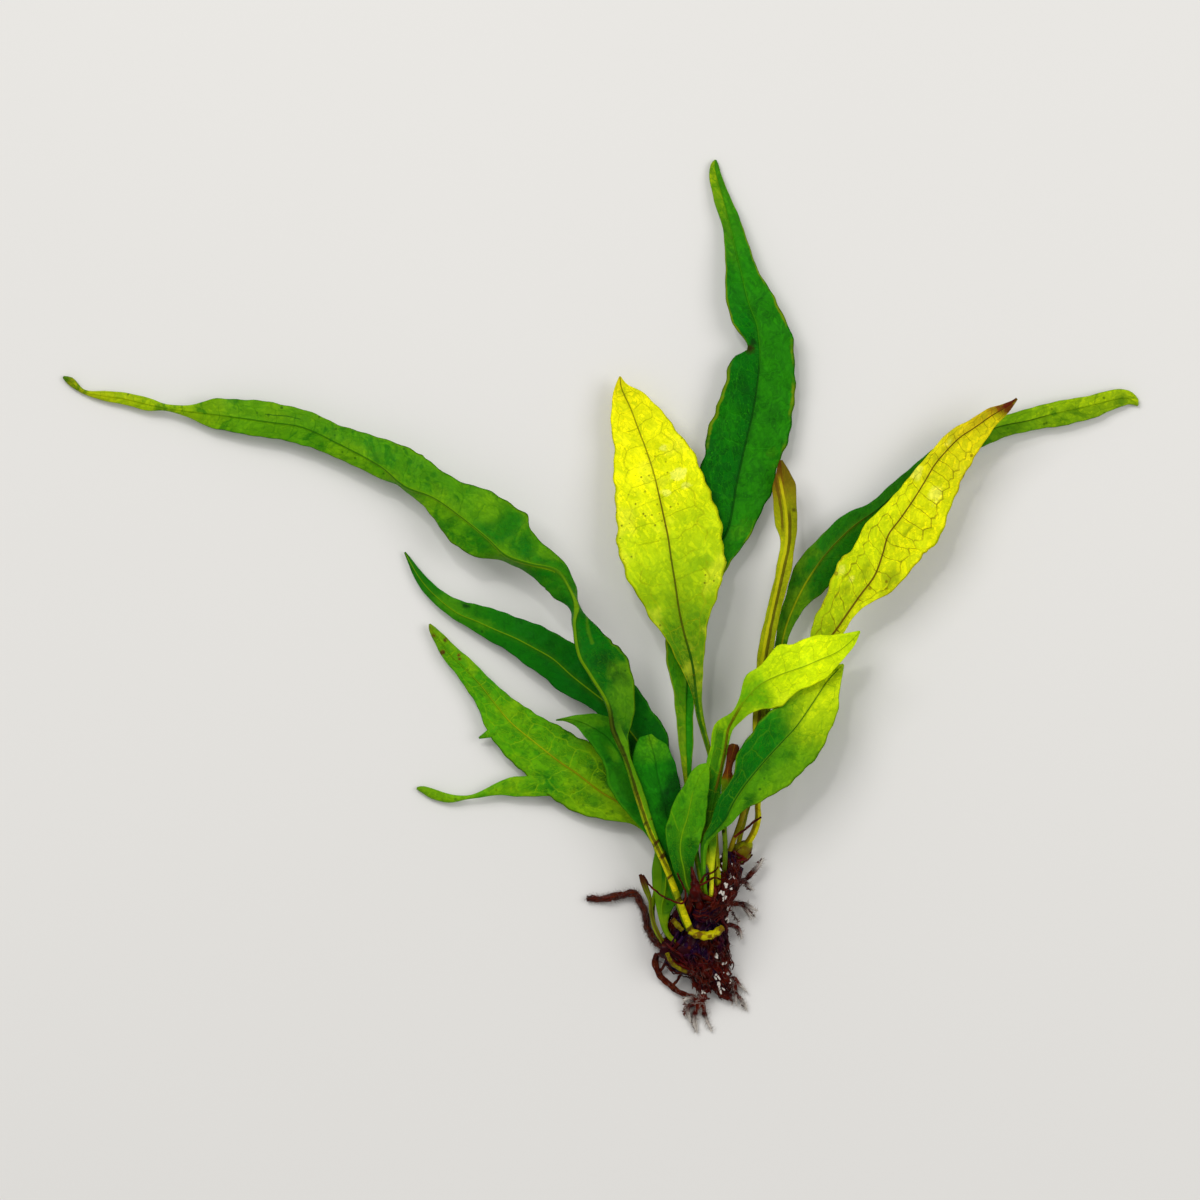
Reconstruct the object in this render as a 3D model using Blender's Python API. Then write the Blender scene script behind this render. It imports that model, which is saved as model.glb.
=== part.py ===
"""A bare-root java fern, lying on its side on a flat surface.

Every frond is one solid: a stalk that widens into a thin blade, swept through a list
of stations. The rhizome and the root mass grown through it are one solid, and the
roots that leave it are solids of their own. Lengths in the lists are millimetres.
X runs along the spread of the two longest fronds, Y from the roots to the tallest
frond's tip, and Z up from the surface that the plant lies on.
"""
import math

import bmesh
import bpy
from mathutils import Vector

MM = 0.001
UP = Vector((0.0, 0.0, 1.0))

# Centre of the plant's outline in the lists' own coordinates, and its lowest point.
CENTRE = Vector((0.12, -0.09, -0.04))

# Driving dimensions, in millimetres.
BLADE_HALF = 0.24
RIB_HALF_BASE = 0.5
RIB_HALF_TIP = 0.28
STALK_HALF = 0.62
STALK_WIDTH = 1.5
BLADE_WIDTH = 3.2
FROND_STEP = 5.5
RHIZOME_SIDES = 12
RHIZOME_STEP = 3.0
ROOT_SIDES = 6
ROOT_STEP = 1.6
STRAND_STEP = 3.4

# Stations run from the rhizome to the tip. Each one is the midrib's place x, y, z, then
# how far the margins stand to its left and right, as seen from above when facing the
# tip, and how far those margins rise over the midrib.
FROND_LONG_LEFT = [
    (17.4, -65.2, 9.4, 0.7, 0.7, 0.0, 0.0),
    (13.4, -54.8, 10.0, 0.65, 0.65, 0.0, 0.0),
    (9.8, -47.0, 10.6, 0.6, 1.2, 0.0, 0.0),
    (7.4, -40.0, 11.2, 0.55, 1.5, 0.0, 0.0),
    (5.2, -33.0, 11.8, 0.5, 1.1, 0.0, 0.0),
    (3.6, -29.2, 12.2, 0.5, 2.2, -0.4, -0.4),
    (2.6, -26.8, 12.5, 0.5, 3.8, -0.8, -0.8),
    (1.6, -21.6, 13.0, 0.5, 5.8, -1.4, -1.6),
    (-1.8, -15.8, 13.4, 0.5, 8.0, -2.2, -2.4),
    (-4.0, -12.0, 13.6, 0.5, 7.0, -2.4, -2.8),
    (-5.0, -5.8, 13.6, 0.5, 4.0, -2.5, -2.8),
    (-4.7, -2.6, 13.4, 1.3, 0.7, -2.5, -2.5),
    (-6.0, 1.0, 13.0, 3.6, 1.3, -2.4, -2.2),
    (-8.6, 4.8, 12.5, 4.2, 2.3, -2.4, -1.8),
    (-14.2, 6.3, 11.6, 2.0, 5.6, -2.6, -1.5),
    (-18.8, 8.0, 10.8, 1.5, 8.6, -2.8, -1.6),
    (-22.6, 11.4, 10.2, 4.6, 8.6, -1.8, -1.2),
    (-27.8, 15.6, 9.4, 4.9, 7.1, -1.2, -1.0),
    (-33.2, 19.4, 8.6, 2.7, 5.4, -1.4, -1.0),
    (-39.0, 21.8, 7.8, 0.9, 7.2, -1.8, -0.8),
    (-44.0, 25.8, 7.0, 2.2, 5.6, -1.0, -0.8),
    (-52.6, 30.4, 6.0, 2.8, 3.6, -0.6, -0.6),
    (-59.6, 33.6, 5.2, 3.4, 3.4, -0.4, -0.4),
    (-66.0, 34.6, 4.6, 3.2, 4.0, -0.3, -0.3),
    (-77.2, 36.2, 3.6, 2.8, 3.2, -0.2, -0.2),
    (-82.0, 36.8, 3.2, 1.4, 1.4, -0.2, 0.2),
    (-87.0, 37.6, 2.8, 0.6, 0.6, -0.3, 0.3),
    (-90.4, 38.2, 2.4, 1.3, 1.3, 0.0, 0.0),
    (-95.4, 39.4, 1.9, 1.2, 1.2, 0.0, 0.0),
    (-99.6, 40.0, 1.5, 1.0, 1.0, 0.0, 0.0),
    (-103.6, 40.8, 1.0, 0.45, 0.45, 0.0, 0.0),
    (-106.4, 43.0, 0.7, 0.8, 0.8, 0.0, 0.0),
    (-107.8, 43.8, 0.5, 0.25, 0.25, 0.0, 0.0),
]
FROND_MID_LEFT = [
    (13.1, -67.0, 6.6, 0.6, 0.6, 0.0, 0.0),
    (12.3, -62.8, 5.8, 1.0, 2.2, 0.0, 0.0),
    (12.9, -60.0, 5.6, 2.2, 3.2, 0.0, 0.0),
    (13.2, -57.0, 5.6, 2.8, 3.8, 0.0, 0.0),
    (13.0, -53.0, 5.8, 2.4, 3.4, 0.0, 0.0),
    (12.8, -49.0, 6.0, 1.6, 3.0, 0.0, 0.0),
    (12.0, -41.0, 6.2, 3.0, 3.5, 0.0, 0.0),
    (10.4, -35.0, 6.4, 4.0, 4.3, 0.0, 0.0),
    (8.0, -30.0, 6.4, 4.8, 5.9, 0.0, 0.0),
    (5.0, -26.0, 6.2, 4.4, 6.2, 0.0, 0.0),
    (1.4, -21.8, 6.0, 2.7, 6.7, 0.0, 0.2),
    (-1.8, -19.2, 5.8, 3.1, 6.8, 0.0, 0.3),
    (-5.6, -16.2, 5.5, 3.9, 5.4, -0.2, 0.3),
    (-9.4, -12.8, 5.1, 4.1, 4.8, -0.4, 0.3),
    (-13.2, -10.6, 4.7, 3.7, 4.6, -0.5, 0.3),
    (-17.0, -8.6, 4.3, 3.1, 4.1, -0.5, 0.2),
    (-20.8, -7.0, 3.9, 2.6, 3.8, -0.5, 0.2),
    (-24.8, -5.2, 3.4, 2.0, 3.4, -0.4, 0.2),
    (-28.6, -3.6, 2.8, 1.4, 2.6, -0.3, 0.2),
    (-33.2, 0.0, 2.0, 1.3, 1.6, 0.0, 0.0),
    (-36.2, 3.4, 1.4, 0.9, 1.2, 0.0, 0.0),
    (-39.2, 8.6, 0.9, 0.2, 0.2, 0.0, 0.0),
]
FROND_LOBED_LEFT = [
    (12.0, -68.6, 4.6, 0.5, 0.5, 0.0, 0.0),
    (10.7, -65.6, 4.0, 0.45, 0.45, 0.0, 0.0),
    (10.6, -62.2, 3.6, 0.45, 0.45, 0.0, 0.0),
    (11.8, -55.0, 3.4, 0.5, 0.5, 0.0, 0.0),
    (10.6, -48.8, 3.6, 0.6, 0.6, 0.0, 0.0),
    (7.8, -45.2, 3.8, 1.4, 1.5, 0.0, 0.0),
    (4.6, -42.2, 4.0, 3.8, 3.0, 0.0, 0.0),
    (-0.2, -39.2, 4.0, 5.9, 4.6, -0.4, 0.0),
    (-4.6, -35.8, 3.9, 7.0, 6.6, -0.6, 0.0),
    (-8.4, -33.2, 3.7, 6.6, 6.2, -0.6, 0.2),
    (-13.2, -29.4, 3.5, 6.1, 5.2, -0.5, 0.2),
    (-18.0, -25.4, 3.2, 5.1, 4.2, -0.4, 0.2),
    (-21.8, -20.8, 3.0, 3.3, 2.9, -0.3, 0.2),
    (-23.8, -18.2, 2.8, 2.9, 2.2, -0.2, 0.1),
    (-26.8, -15.0, 2.5, 2.2, 2.2, -0.2, 0.1),
    (-30.0, -12.0, 2.1, 1.6, 1.9, 0.0, 0.0),
    (-32.0, -9.2, 1.8, 1.2, 1.4, 0.0, 0.0),
    (-33.8, -6.8, 1.5, 0.6, 0.8, 0.0, 0.0),
    (-34.2, -5.8, 1.4, 0.2, 0.2, 0.0, 0.0),
]
SIDE_LOBE = [
    (-5.0, -39.0, 3.5, 1.0, 1.0, 0.0, 0.0),
    (-11.0, -38.0, 3.3, 2.4, 1.6, 0.0, 0.0),
    (-17.0, -38.2, 2.9, 2.2, 1.8, 0.0, 0.0),
    (-20.8, -39.0, 2.5, 1.2, 1.2, 0.0, 0.0),
    (-24.2, -40.0, 2.1, 0.7, 0.5, 0.0, 0.0),
    (-26.6, -40.6, 1.8, 0.4, 0.4, 0.0, 0.0),
    (-30.4, -40.8, 1.4, 0.9, 0.9, 0.0, 0.0),
    (-33.6, -40.0, 1.1, 0.9, 1.1, 0.0, 0.0),
    (-35.6, -39.0, 0.8, 0.7, 0.7, 0.0, 0.0),
    (-36.8, -38.8, 0.6, 0.25, 0.25, 0.0, 0.0),
]
MARGIN_SPUR = [
    (-19.5, -26.6, 3.0, 1.6, 1.6, 0.0, 0.0),
    (-22.4, -27.9, 2.7, 0.8, 0.8, 0.0, 0.0),
    (-24.3, -28.7, 2.4, 0.2, 0.2, 0.0, 0.0),
]
FROND_INNER_LEFT = [
    (16.6, -64.6, 7.4, 0.5, 0.5, 0.0, 0.0),
    (14.8, -59.6, 7.8, 0.5, 0.5, 0.0, 0.0),
    (12.6, -53.4, 8.2, 0.5, 0.5, 0.0, 0.0),
    (10.4, -48.6, 8.4, 0.6, 0.6, 0.0, 0.0),
    (8.6, -44.0, 8.4, 2.2, 0.8, 0.5, 0.0),
    (6.4, -38.0, 8.3, 4.4, 1.6, 1.0, -0.2),
    (4.4, -32.6, 8.2, 4.0, 2.2, 1.2, -0.2),
    (1.6, -28.6, 8.2, 3.4, 3.8, 1.2, 0.4),
    (-1.6, -26.4, 8.2, 2.6, 3.0, 0.9, 0.5),
    (-4.4, -25.2, 8.2, 1.2, 1.4, 0.4, 0.2),
    (-6.8, -24.8, 8.1, 0.5, 0.4, 0.0, 0.0),
    (-8.8, -25.0, 7.9, 0.15, 0.15, 0.0, 0.0),
]
FROND_SHORT_BACK = [
    (18.4, -60.4, 8.8, 0.55, 0.55, 0.0, 0.0),
    (17.0, -56.0, 9.2, 1.0, 1.0, 0.0, 0.0),
    (14.8, -49.4, 9.6, 2.4, 2.2, 0.0, 0.0),
    (13.4, -45.0, 9.8, 3.8, 2.8, 0.0, 0.0),
    (12.4, -40.0, 9.9, 5.0, 4.0, 0.0, 0.0),
    (11.6, -36.6, 9.9, 5.0, 4.0, 0.0, 0.0),
    (11.0, -33.0, 9.8, 4.6, 3.6, 0.0, 0.0),
    (10.4, -30.4, 9.7, 3.9, 2.9, 0.0, 0.0),
    (10.0, -29.0, 9.6, 3.0, 1.4, 0.0, 0.0),
    (9.7, -27.9, 9.5, 1.8, 0.6, 0.0, 0.0),
]
FROND_YOUNG_FRONT = [
    (19.0, -60.6, 10.6, 0.6, 0.6, 0.0, 0.0),
    (17.4, -58.0, 10.9, 0.9, 0.9, 0.0, 0.0),
    (16.8, -55.0, 11.2, 2.0, 1.8, 0.2, 0.2),
    (16.0, -51.0, 11.5, 2.4, 3.6, 0.3, 0.3),
    (16.4, -47.6, 11.7, 3.4, 3.8, 0.3, 0.3),
    (17.4, -44.4, 11.8, 3.6, 3.8, 0.2, 0.2),
    (18.0, -41.6, 11.9, 3.2, 3.4, 0.2, 0.2),
    (18.6, -39.0, 12.0, 2.2, 3.0, 0.1, 0.1),
    (19.8, -36.0, 12.0, 1.8, 2.4, 0.0, 0.0),
    (21.0, -34.4, 12.0, 1.3, 1.0, 0.0, 0.0),
    (21.4, -33.7, 12.0, 0.4, 0.4, 0.0, 0.0),
]
FROND_YELLOW_CENTRE = [
    (23.6, -57.2, 9.0, 0.6, 0.6, 0.0, 0.0),
    (23.2, -51.0, 8.2, 0.6, 0.6, 0.0, 0.0),
    (22.6, -41.0, 8.4, 0.6, 0.6, 0.0, 0.0),
    (22.2, -33.0, 8.8, 0.55, 0.55, 0.0, 0.0),
    (21.4, -30.0, 9.2, 0.5, 0.6, 0.0, 0.0),
    (19.8, -24.2, 9.8, 0.6, 0.9, 0.0, 0.0),
    (19.2, -19.8, 10.0, 0.8, 1.2, 0.0, 0.0),
    (18.4, -13.6, 10.0, 2.6, 2.4, 0.2, 0.2),
    (16.8, -7.6, 9.9, 4.0, 4.8, 0.4, 0.4),
    (15.8, -3.0, 9.6, 6.2, 7.1, 0.5, 0.5),
    (15.0, 2.4, 9.2, 8.4, 9.8, 0.5, 0.5),
    (14.2, 7.4, 8.6, 10.0, 10.8, 0.4, 0.4),
    (13.6, 11.6, 8.0, 10.2, 10.8, 0.3, 0.3),
    (12.8, 15.4, 7.5, 9.8, 10.8, 0.2, 0.2),
    (11.8, 20.0, 7.0, 8.8, 9.7, 0.0, 0.0),
    (10.8, 24.2, 6.5, 8.4, 9.3, -0.2, -0.2),
    (9.2, 29.2, 6.0, 6.8, 7.6, -0.3, -0.3),
    (7.6, 33.4, 5.5, 5.4, 6.2, -0.3, -0.3),
    (6.2, 37.2, 5.0, 4.4, 4.6, -0.2, -0.2),
    (5.0, 39.8, 4.7, 2.9, 3.2, 0.0, 0.0),
    (4.2, 41.8, 4.4, 1.3, 1.4, 0.0, 0.0),
    (4.0, 43.8, 4.2, 0.2, 0.2, 0.0, 0.0),
]
FROND_TALL = [
    (20.6, -58.6, 8.6, 0.55, 0.55, 0.0, 0.0),
    (18.8, -49.0, 8.0, 0.55, 0.55, 0.0, 0.0),
    (17.6, -39.0, 8.0, 0.55, 0.55, 0.0, 0.0),
    (17.4, -35.0, 8.0, 1.0, 0.9, 0.2, 0.2),
    (17.2, -29.0, 7.8, 1.6, 1.5, 0.8, 0.8),
    (17.2, -21.0, 7.4, 2.4, 1.7, 1.0, 0.8),
    (18.0, -11.0, 6.8, 5.0, 3.0, 0.8, 0.5),
    (19.4, -3.0, 6.2, 5.0, 2.6, 0.6, 0.3),
    (21.2, 3.0, 5.6, 5.4, 2.8, 0.4, 0.2),
    (22.8, 8.0, 5.1, 6.0, 3.7, 0.3, 0.0),
    (25.6, 13.0, 4.7, 6.6, 4.4, 0.2, -0.1),
    (27.2, 21.4, 4.3, 7.8, 7.1, 0.1, -0.2),
    (28.0, 25.2, 4.2, 7.6, 7.3, 0.0, -0.3),
    (29.2, 30.6, 4.2, 7.9, 7.8, 0.0, -0.3),
    (30.4, 35.6, 4.3, 7.5, 8.2, 0.0, -0.3),
    (31.2, 40.2, 4.5, 6.6, 7.8, 0.0, -0.3),
    (31.8, 45.0, 4.7, 6.2, 7.4, 0.0, -0.3),
    (32.0, 47.8, 4.8, 4.8, 7.0, 0.0, -0.3),
    (32.0, 49.2, 4.8, 2.6, 6.8, 0.0, -0.3),
    (31.8, 51.4, 4.8, 2.9, 6.6, 0.0, -0.3),
    (31.4, 54.2, 4.8, 4.2, 5.8, 0.0, -0.2),
    (29.8, 58.4, 4.5, 4.4, 5.2, 0.0, -0.2),
    (28.4, 64.2, 4.0, 3.4, 3.5, 0.0, 0.0),
    (27.2, 69.2, 3.4, 2.2, 2.8, 0.0, 0.0),
    (26.0, 74.6, 2.6, 1.6, 2.3, 0.0, 0.0),
    (24.8, 79.2, 1.9, 1.9, 1.5, 0.0, 0.0),
    (23.4, 84.2, 1.2, 1.5, 1.0, 0.0, 0.0),
    (23.0, 86.4, 0.8, 0.8, 0.8, 0.0, 0.0),
    (23.2, 87.4, 0.6, 0.2, 0.2, 0.0, 0.0),
]
FROND_FAR_RIGHT = [
    (28.0, -48.6, 5.2, 0.5, 0.5, 0.0, 0.0),
    (28.9, -45.0, 5.4, 0.5, 0.5, 0.0, 0.0),
    (30.4, -39.0, 5.7, 0.5, 0.5, 0.0, 0.0),
    (32.0, -31.0, 6.0, 0.55, 0.55, 0.0, 0.0),
    (34.0, -21.0, 6.2, 0.6, 0.6, 0.0, 0.0),
    (36.4, -9.8, 6.2, 1.4, 1.0, 0.0, 0.0),
    (37.4, -5.8, 6.0, 1.8, 1.4, 0.0, 0.0),
    (39.4, -1.0, 5.7, 2.4, 2.4, 0.0, 0.0),
    (41.8, 3.4, 5.4, 3.6, 4.2, 0.0, 0.0),
    (45.6, 8.6, 5.0, 3.3, 4.4, 0.0, 0.0),
    (50.6, 13.6, 4.6, 3.0, 4.4, 0.0, 0.0),
    (55.4, 17.0, 4.3, 2.0, 4.0, 0.0, 0.0),
    (60.0, 21.0, 4.0, 2.0, 3.6, 0.0, 0.0),
    (66.0, 25.8, 3.7, 2.2, 3.0, 0.0, 0.0),
    (72.0, 30.0, 3.4, 2.4, 2.6, 0.0, 0.0),
    (79.6, 33.6, 3.0, 1.9, 2.4, 0.0, 0.0),
    (86.0, 35.0, 2.7, 2.3, 2.1, 0.0, 0.0),
    (91.8, 36.6, 2.4, 2.3, 2.8, 0.0, 0.0),
    (98.0, 38.0, 2.0, 1.9, 2.7, 0.0, 0.0),
    (102.8, 39.2, 1.6, 2.0, 2.0, 0.0, 0.0),
    (105.8, 39.6, 1.2, 1.5, 1.5, 0.0, 0.0),
    (107.6, 38.6, 0.8, 0.8, 0.6, 0.0, 0.0),
    (108.0, 38.0, 0.6, 0.2, 0.2, 0.0, 0.0),
]
FROND_YELLOW_RIGHT = [
    (30.8, -47.4, 6.8, 0.7, 0.7, 0.0, 0.0),
    (31.6, -44.6, 7.2, 0.65, 0.65, 0.0, 0.0),
    (31.6, -41.6, 7.5, 0.6, 0.6, 0.0, 0.0),
    (33.4, -35.0, 7.9, 0.6, 0.6, 0.0, 0.0),
    (37.6, -20.0, 8.6, 0.7, 0.7, 0.0, 0.0),
    (42.4, -13.0, 9.1, 1.6, 1.0, 0.0, 0.0),
    (46.8, -7.4, 9.4, 5.0, 1.6, 0.0, 0.0),
    (49.6, -3.4, 9.4, 5.4, 1.5, 0.1, 0.0),
    (52.0, 0.0, 9.3, 7.0, 2.6, 0.2, 0.0),
    (54.8, 3.8, 9.2, 7.4, 5.0, 0.3, 0.1),
    (56.4, 8.0, 9.1, 6.0, 6.9, 0.3, 0.2),
    (57.6, 12.0, 9.0, 5.0, 8.2, 0.3, 0.3),
    (59.8, 15.0, 8.9, 4.3, 8.7, 0.3, 0.3),
    (62.2, 18.4, 8.8, 3.6, 8.0, 0.2, 0.3),
    (64.6, 22.2, 8.8, 3.2, 7.0, 0.2, 0.3),
    (67.0, 26.2, 8.8, 2.3, 6.2, 0.1, 0.2),
    (69.4, 29.0, 8.9, 2.4, 5.8, 0.0, 0.1),
    (71.8, 31.4, 9.0, 2.2, 4.8, 0.0, 0.0),
    (74.8, 33.4, 9.2, 1.9, 3.6, 0.0, 0.0),
    (78.2, 35.8, 9.5, 1.6, 2.0, 0.0, 0.0),
    (80.6, 37.2, 9.8, 1.0, 1.3, 0.0, 0.0),
    (82.4, 38.4, 10.2, 0.5, 0.5, 0.0, 0.0),
    (83.2, 39.2, 10.6, 0.25, 0.25, 0.0, 0.0),
]
FROND_PALE_RIGHT = [
    (22.2, -59.6, 10.2, 0.5, 0.5, 0.0, 0.0),
    (22.3, -55.4, 10.0, 0.5, 0.5, 0.0, 0.0),
    (21.9, -50.8, 9.8, 1.8, 1.3, 0.0, 0.0),
    (21.8, -46.6, 9.8, 1.6, 1.6, 0.0, 0.0),
    (22.4, -42.0, 9.8, 1.6, 1.6, 0.0, 0.0),
    (23.8, -36.0, 9.8, 2.9, 0.6, 0.0, 0.0),
    (25.0, -30.6, 10.0, 3.0, 0.6, 0.0, 0.0),
    (25.6, -26.8, 10.3, 3.0, 0.9, 0.0, 0.0),
    (27.0, -24.0, 10.8, 1.0, 1.8, 0.0, 0.0),
    (28.6, -21.4, 11.4, 1.1, 3.0, 0.0, 0.0),
    (31.2, -18.4, 12.0, 3.2, 5.6, 0.0, -0.3),
    (33.8, -16.8, 12.4, 3.3, 5.8, -0.2, -0.4),
    (37.2, -15.4, 12.7, 5.6, 4.6, -0.4, -0.3),
    (40.2, -14.4, 12.9, 5.1, 4.2, -0.4, -0.3),
    (44.0, -12.8, 13.0, 4.9, 3.8, -0.3, -0.2),
    (47.2, -11.4, 13.0, 4.0, 2.0, 0.0, 0.0),
    (50.0, -9.2, 12.9, 2.2, 1.1, 0.0, 0.0),
    (51.8, -7.2, 12.7, 0.2, 0.2, 0.0, 0.0),
]
FROND_BROAD_RIGHT = [
    (20.8, -58.0, 11.6, 0.5, 0.5, 0.0, 0.0),
    (20.6, -54.0, 11.4, 0.5, 0.5, 0.0, 0.0),
    (20.9, -49.6, 11.4, 0.8, 0.8, 0.0, 0.0),
    (23.0, -47.0, 11.8, 1.6, 0.7, 0.0, 0.0),
    (25.0, -44.6, 12.2, 2.8, 1.6, 0.0, 0.0),
    (26.6, -41.4, 12.4, 3.0, 2.7, 0.0, 0.0),
    (28.8, -38.0, 12.5, 3.0, 4.9, 0.0, 0.0),
    (31.2, -35.0, 12.5, 5.0, 6.2, 0.2, -0.2),
    (33.8, -32.0, 12.3, 5.7, 7.0, 0.2, -0.4),
    (36.4, -29.2, 12.0, 6.0, 7.2, 0.0, -0.4),
    (39.0, -26.4, 11.6, 5.8, 6.8, 0.0, -0.4),
    (41.6, -22.8, 11.0, 4.8, 5.8, 0.0, -0.2),
    (43.6, -19.8, 10.7, 3.8, 4.8, 0.0, 0.0),
    (45.4, -17.2, 10.5, 2.6, 3.2, 0.0, 0.0),
    (47.4, -15.0, 10.4, 1.2, 1.4, 0.0, 0.0),
    (48.6, -13.8, 10.4, 0.2, 0.2, 0.0, 0.0),
]
FROND_WITHERED_NARROW = [
    (26.4, -49.8, 7.8, 0.5, 0.5, 0.0, 0.0),
    (28.0, -45.6, 7.9, 0.55, 0.55, 0.0, 0.0),
    (29.2, -41.0, 8.0, 0.6, 0.6, 0.0, 0.0),
    (30.8, -33.0, 8.3, 0.6, 0.6, 0.0, 0.0),
    (31.8, -24.6, 8.7, 1.3, 1.3, 0.3, 0.3),
    (32.0, -19.0, 8.8, 1.0, 0.8, 0.3, 0.3),
    (33.4, -11.0, 8.8, 1.9, 1.2, 0.6, 0.6),
    (34.4, -5.4, 8.7, 1.6, 1.2, 0.8, 0.8),
    (35.6, 0.0, 8.4, 1.6, 1.4, 0.9, 0.9),
    (36.8, 5.4, 8.0, 1.6, 1.5, 0.9, 0.9),
    (37.8, 10.0, 7.6, 1.8, 1.2, 0.9, 0.9),
    (38.0, 14.6, 7.2, 3.1, 1.6, 0.8, 0.8),
    (37.6, 18.4, 6.9, 3.0, 1.6, 0.8, 0.8),
    (37.0, 21.6, 6.7, 2.6, 2.2, 0.6, 0.8),
    (36.4, 24.6, 6.5, 1.2, 1.5, 0.4, 0.4),
    (36.2, 27.0, 6.4, 0.3, 0.3, 0.0, 0.0),
]
FROND_OLD_STUB = [
    (24.9, -54.0, 9.8, 0.5, 0.5, 0.0, 0.0),
    (25.0, -50.0, 10.2, 0.5, 0.5, 0.0, 0.0),
    (24.8, -45.4, 10.5, 0.6, 0.6, 0.0, 0.0),
    (25.4, -42.2, 10.8, 1.1, 1.0, 0.0, 0.0),
    (25.8, -39.0, 10.9, 1.6, 1.4, 0.0, 0.0),
    (25.4, -36.6, 11.0, 1.2, 1.4, 0.0, 0.0),
    (25.4, -35.2, 11.1, 0.6, 0.9, 0.0, 0.0),
    (25.9, -33.2, 11.2, 0.7, 0.8, 0.2, 0.2),
    (26.4, -31.8, 11.2, 1.1, 1.1, 0.2, 0.2),
    (26.8, -30.2, 11.2, 1.2, 1.1, 0.1, 0.1),
    (26.9, -29.7, 11.2, 0.6, 0.6, 0.0, 0.0),
]
FRONDLET_LEFT = [
    (11.3, -67.0, 7.0, 0.4, 0.4, 0.0, 0.0),
    (10.3, -64.0, 6.6, 0.4, 0.4, 0.0, 0.0),
    (10.1, -61.2, 6.2, 0.5, 0.4, 0.0, 0.0),
    (9.4, -59.2, 5.8, 0.6, 0.5, 0.2, 0.2),
    (8.6, -57.2, 5.6, 0.5, 0.5, 0.3, 0.3),
    (8.0, -55.9, 5.8, 0.3, 0.3, 0.0, 0.0),
]
# Name, stations, side pieces grown from it, colour and roughness of each frond.
FRONDS = [
    ("frond_long_left", FROND_LONG_LEFT, [], (0.08, 0.30, 0.01), 0.4),
    ("frond_mid_left", FROND_MID_LEFT, [], (0.01, 0.16, 0.01), 0.4),
    ("frond_lobed_left", FROND_LOBED_LEFT, [SIDE_LOBE, MARGIN_SPUR], (0.07, 0.27, 0.01), 0.4),
    ("frond_inner_left", FROND_INNER_LEFT, [], (0.01, 0.13, 0.01), 0.4),
    ("frond_short_back", FROND_SHORT_BACK, [], (0.01, 0.12, 0.01), 0.4),
    ("frond_young_front", FROND_YOUNG_FRONT, [], (0.08, 0.28, 0.01), 0.4),
    ("frond_yellow_centre", FROND_YELLOW_CENTRE, [], (0.55, 0.64, 0.01), 0.4),
    ("frond_tall", FROND_TALL, [], (0.01, 0.10, 0.01), 0.4),
    ("frond_far_right", FROND_FAR_RIGHT, [], (0.06, 0.18, 0.01), 0.4),
    ("frond_yellow_right", FROND_YELLOW_RIGHT, [], (0.52, 0.60, 0.01), 0.4),
    ("frond_pale_right", FROND_PALE_RIGHT, [], (0.50, 0.70, 0.01), 0.4),
    ("frond_broad_right", FROND_BROAD_RIGHT, [], (0.06, 0.25, 0.01), 0.4),
    ("frond_withered_narrow", FROND_WITHERED_NARROW, [], (0.35, 0.32, 0.03), 0.5),
    ("frond_old_stub", FROND_OLD_STUB, [], (0.14, 0.12, 0.02), 0.5),
    ("frondlet_left", FRONDLET_LEFT, [], (0.20, 0.19, 0.02), 0.5),
]

# Root and rhizome routes: x, y, z and radius at each point, from the thick end.
RHIZOME = [
    (12.2, -70.4, 5.2, 1.8),
    (15.6, -71.2, 5.4, 2.2),
    (18.6, -69.0, 5.6, 2.3),
    (20.6, -65.0, 5.7, 2.3),
    (22.2, -60.4, 5.7, 2.3),
    (24.4, -55.6, 5.4, 2.2),
    (27.0, -52.4, 5.0, 1.9),
    (28.8, -51.2, 5.2, 1.9),
    (30.6, -50.3, 5.2, 1.4),
]
ROOT_MASS = [
    (13.4, -72.4, 2.6, 1.6),
    (16.4, -73.4, 3.0, 2.9),
    (20.6, -72.4, 3.2, 3.2),
    (22.2, -67.4, 3.2, 3.0),
    (22.8, -62.4, 3.1, 2.8),
    (25.4, -57.4, 3.0, 2.3),
    (27.6, -54.0, 2.8, 1.6),
]
ROOT_MASS_LOW = [
    (18.6, -71.6, 3.0, 2.8),
    (20.4, -75.6, 2.7, 2.6),
    (20.8, -78.0, 2.0, 1.9),
    (20.6, -79.4, 1.6, 1.2),
]
ROOT_PRONG = [
    (21.6, -74.0, 2.8, 2.4),
    (23.4, -77.2, 2.2, 1.7),
    (24.8, -79.4, 1.6, 1.1),
    (26.0, -80.8, 1.2, 0.6),
]
ROOT_SHOULDER = [
    (14.6, -70.4, 4.2, 1.8),
    (15.6, -67.0, 4.2, 2.1),
    (17.0, -63.8, 4.2, 1.9),
    (18.2, -61.0, 4.6, 1.2),
]
ROOT_CROWN = [
    (18.8, -63.2, 8.6, 1.2),
    (20.2, -63.4, 8.8, 1.9),
    (22.2, -62.6, 8.6, 2.2),
    (23.8, -60.8, 7.9, 2.0),
    (25.8, -57.2, 7.3, 1.8),
    (26.0, -54.0, 7.2, 1.6),
    (25.6, -51.4, 6.8, 1.2),
]
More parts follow.
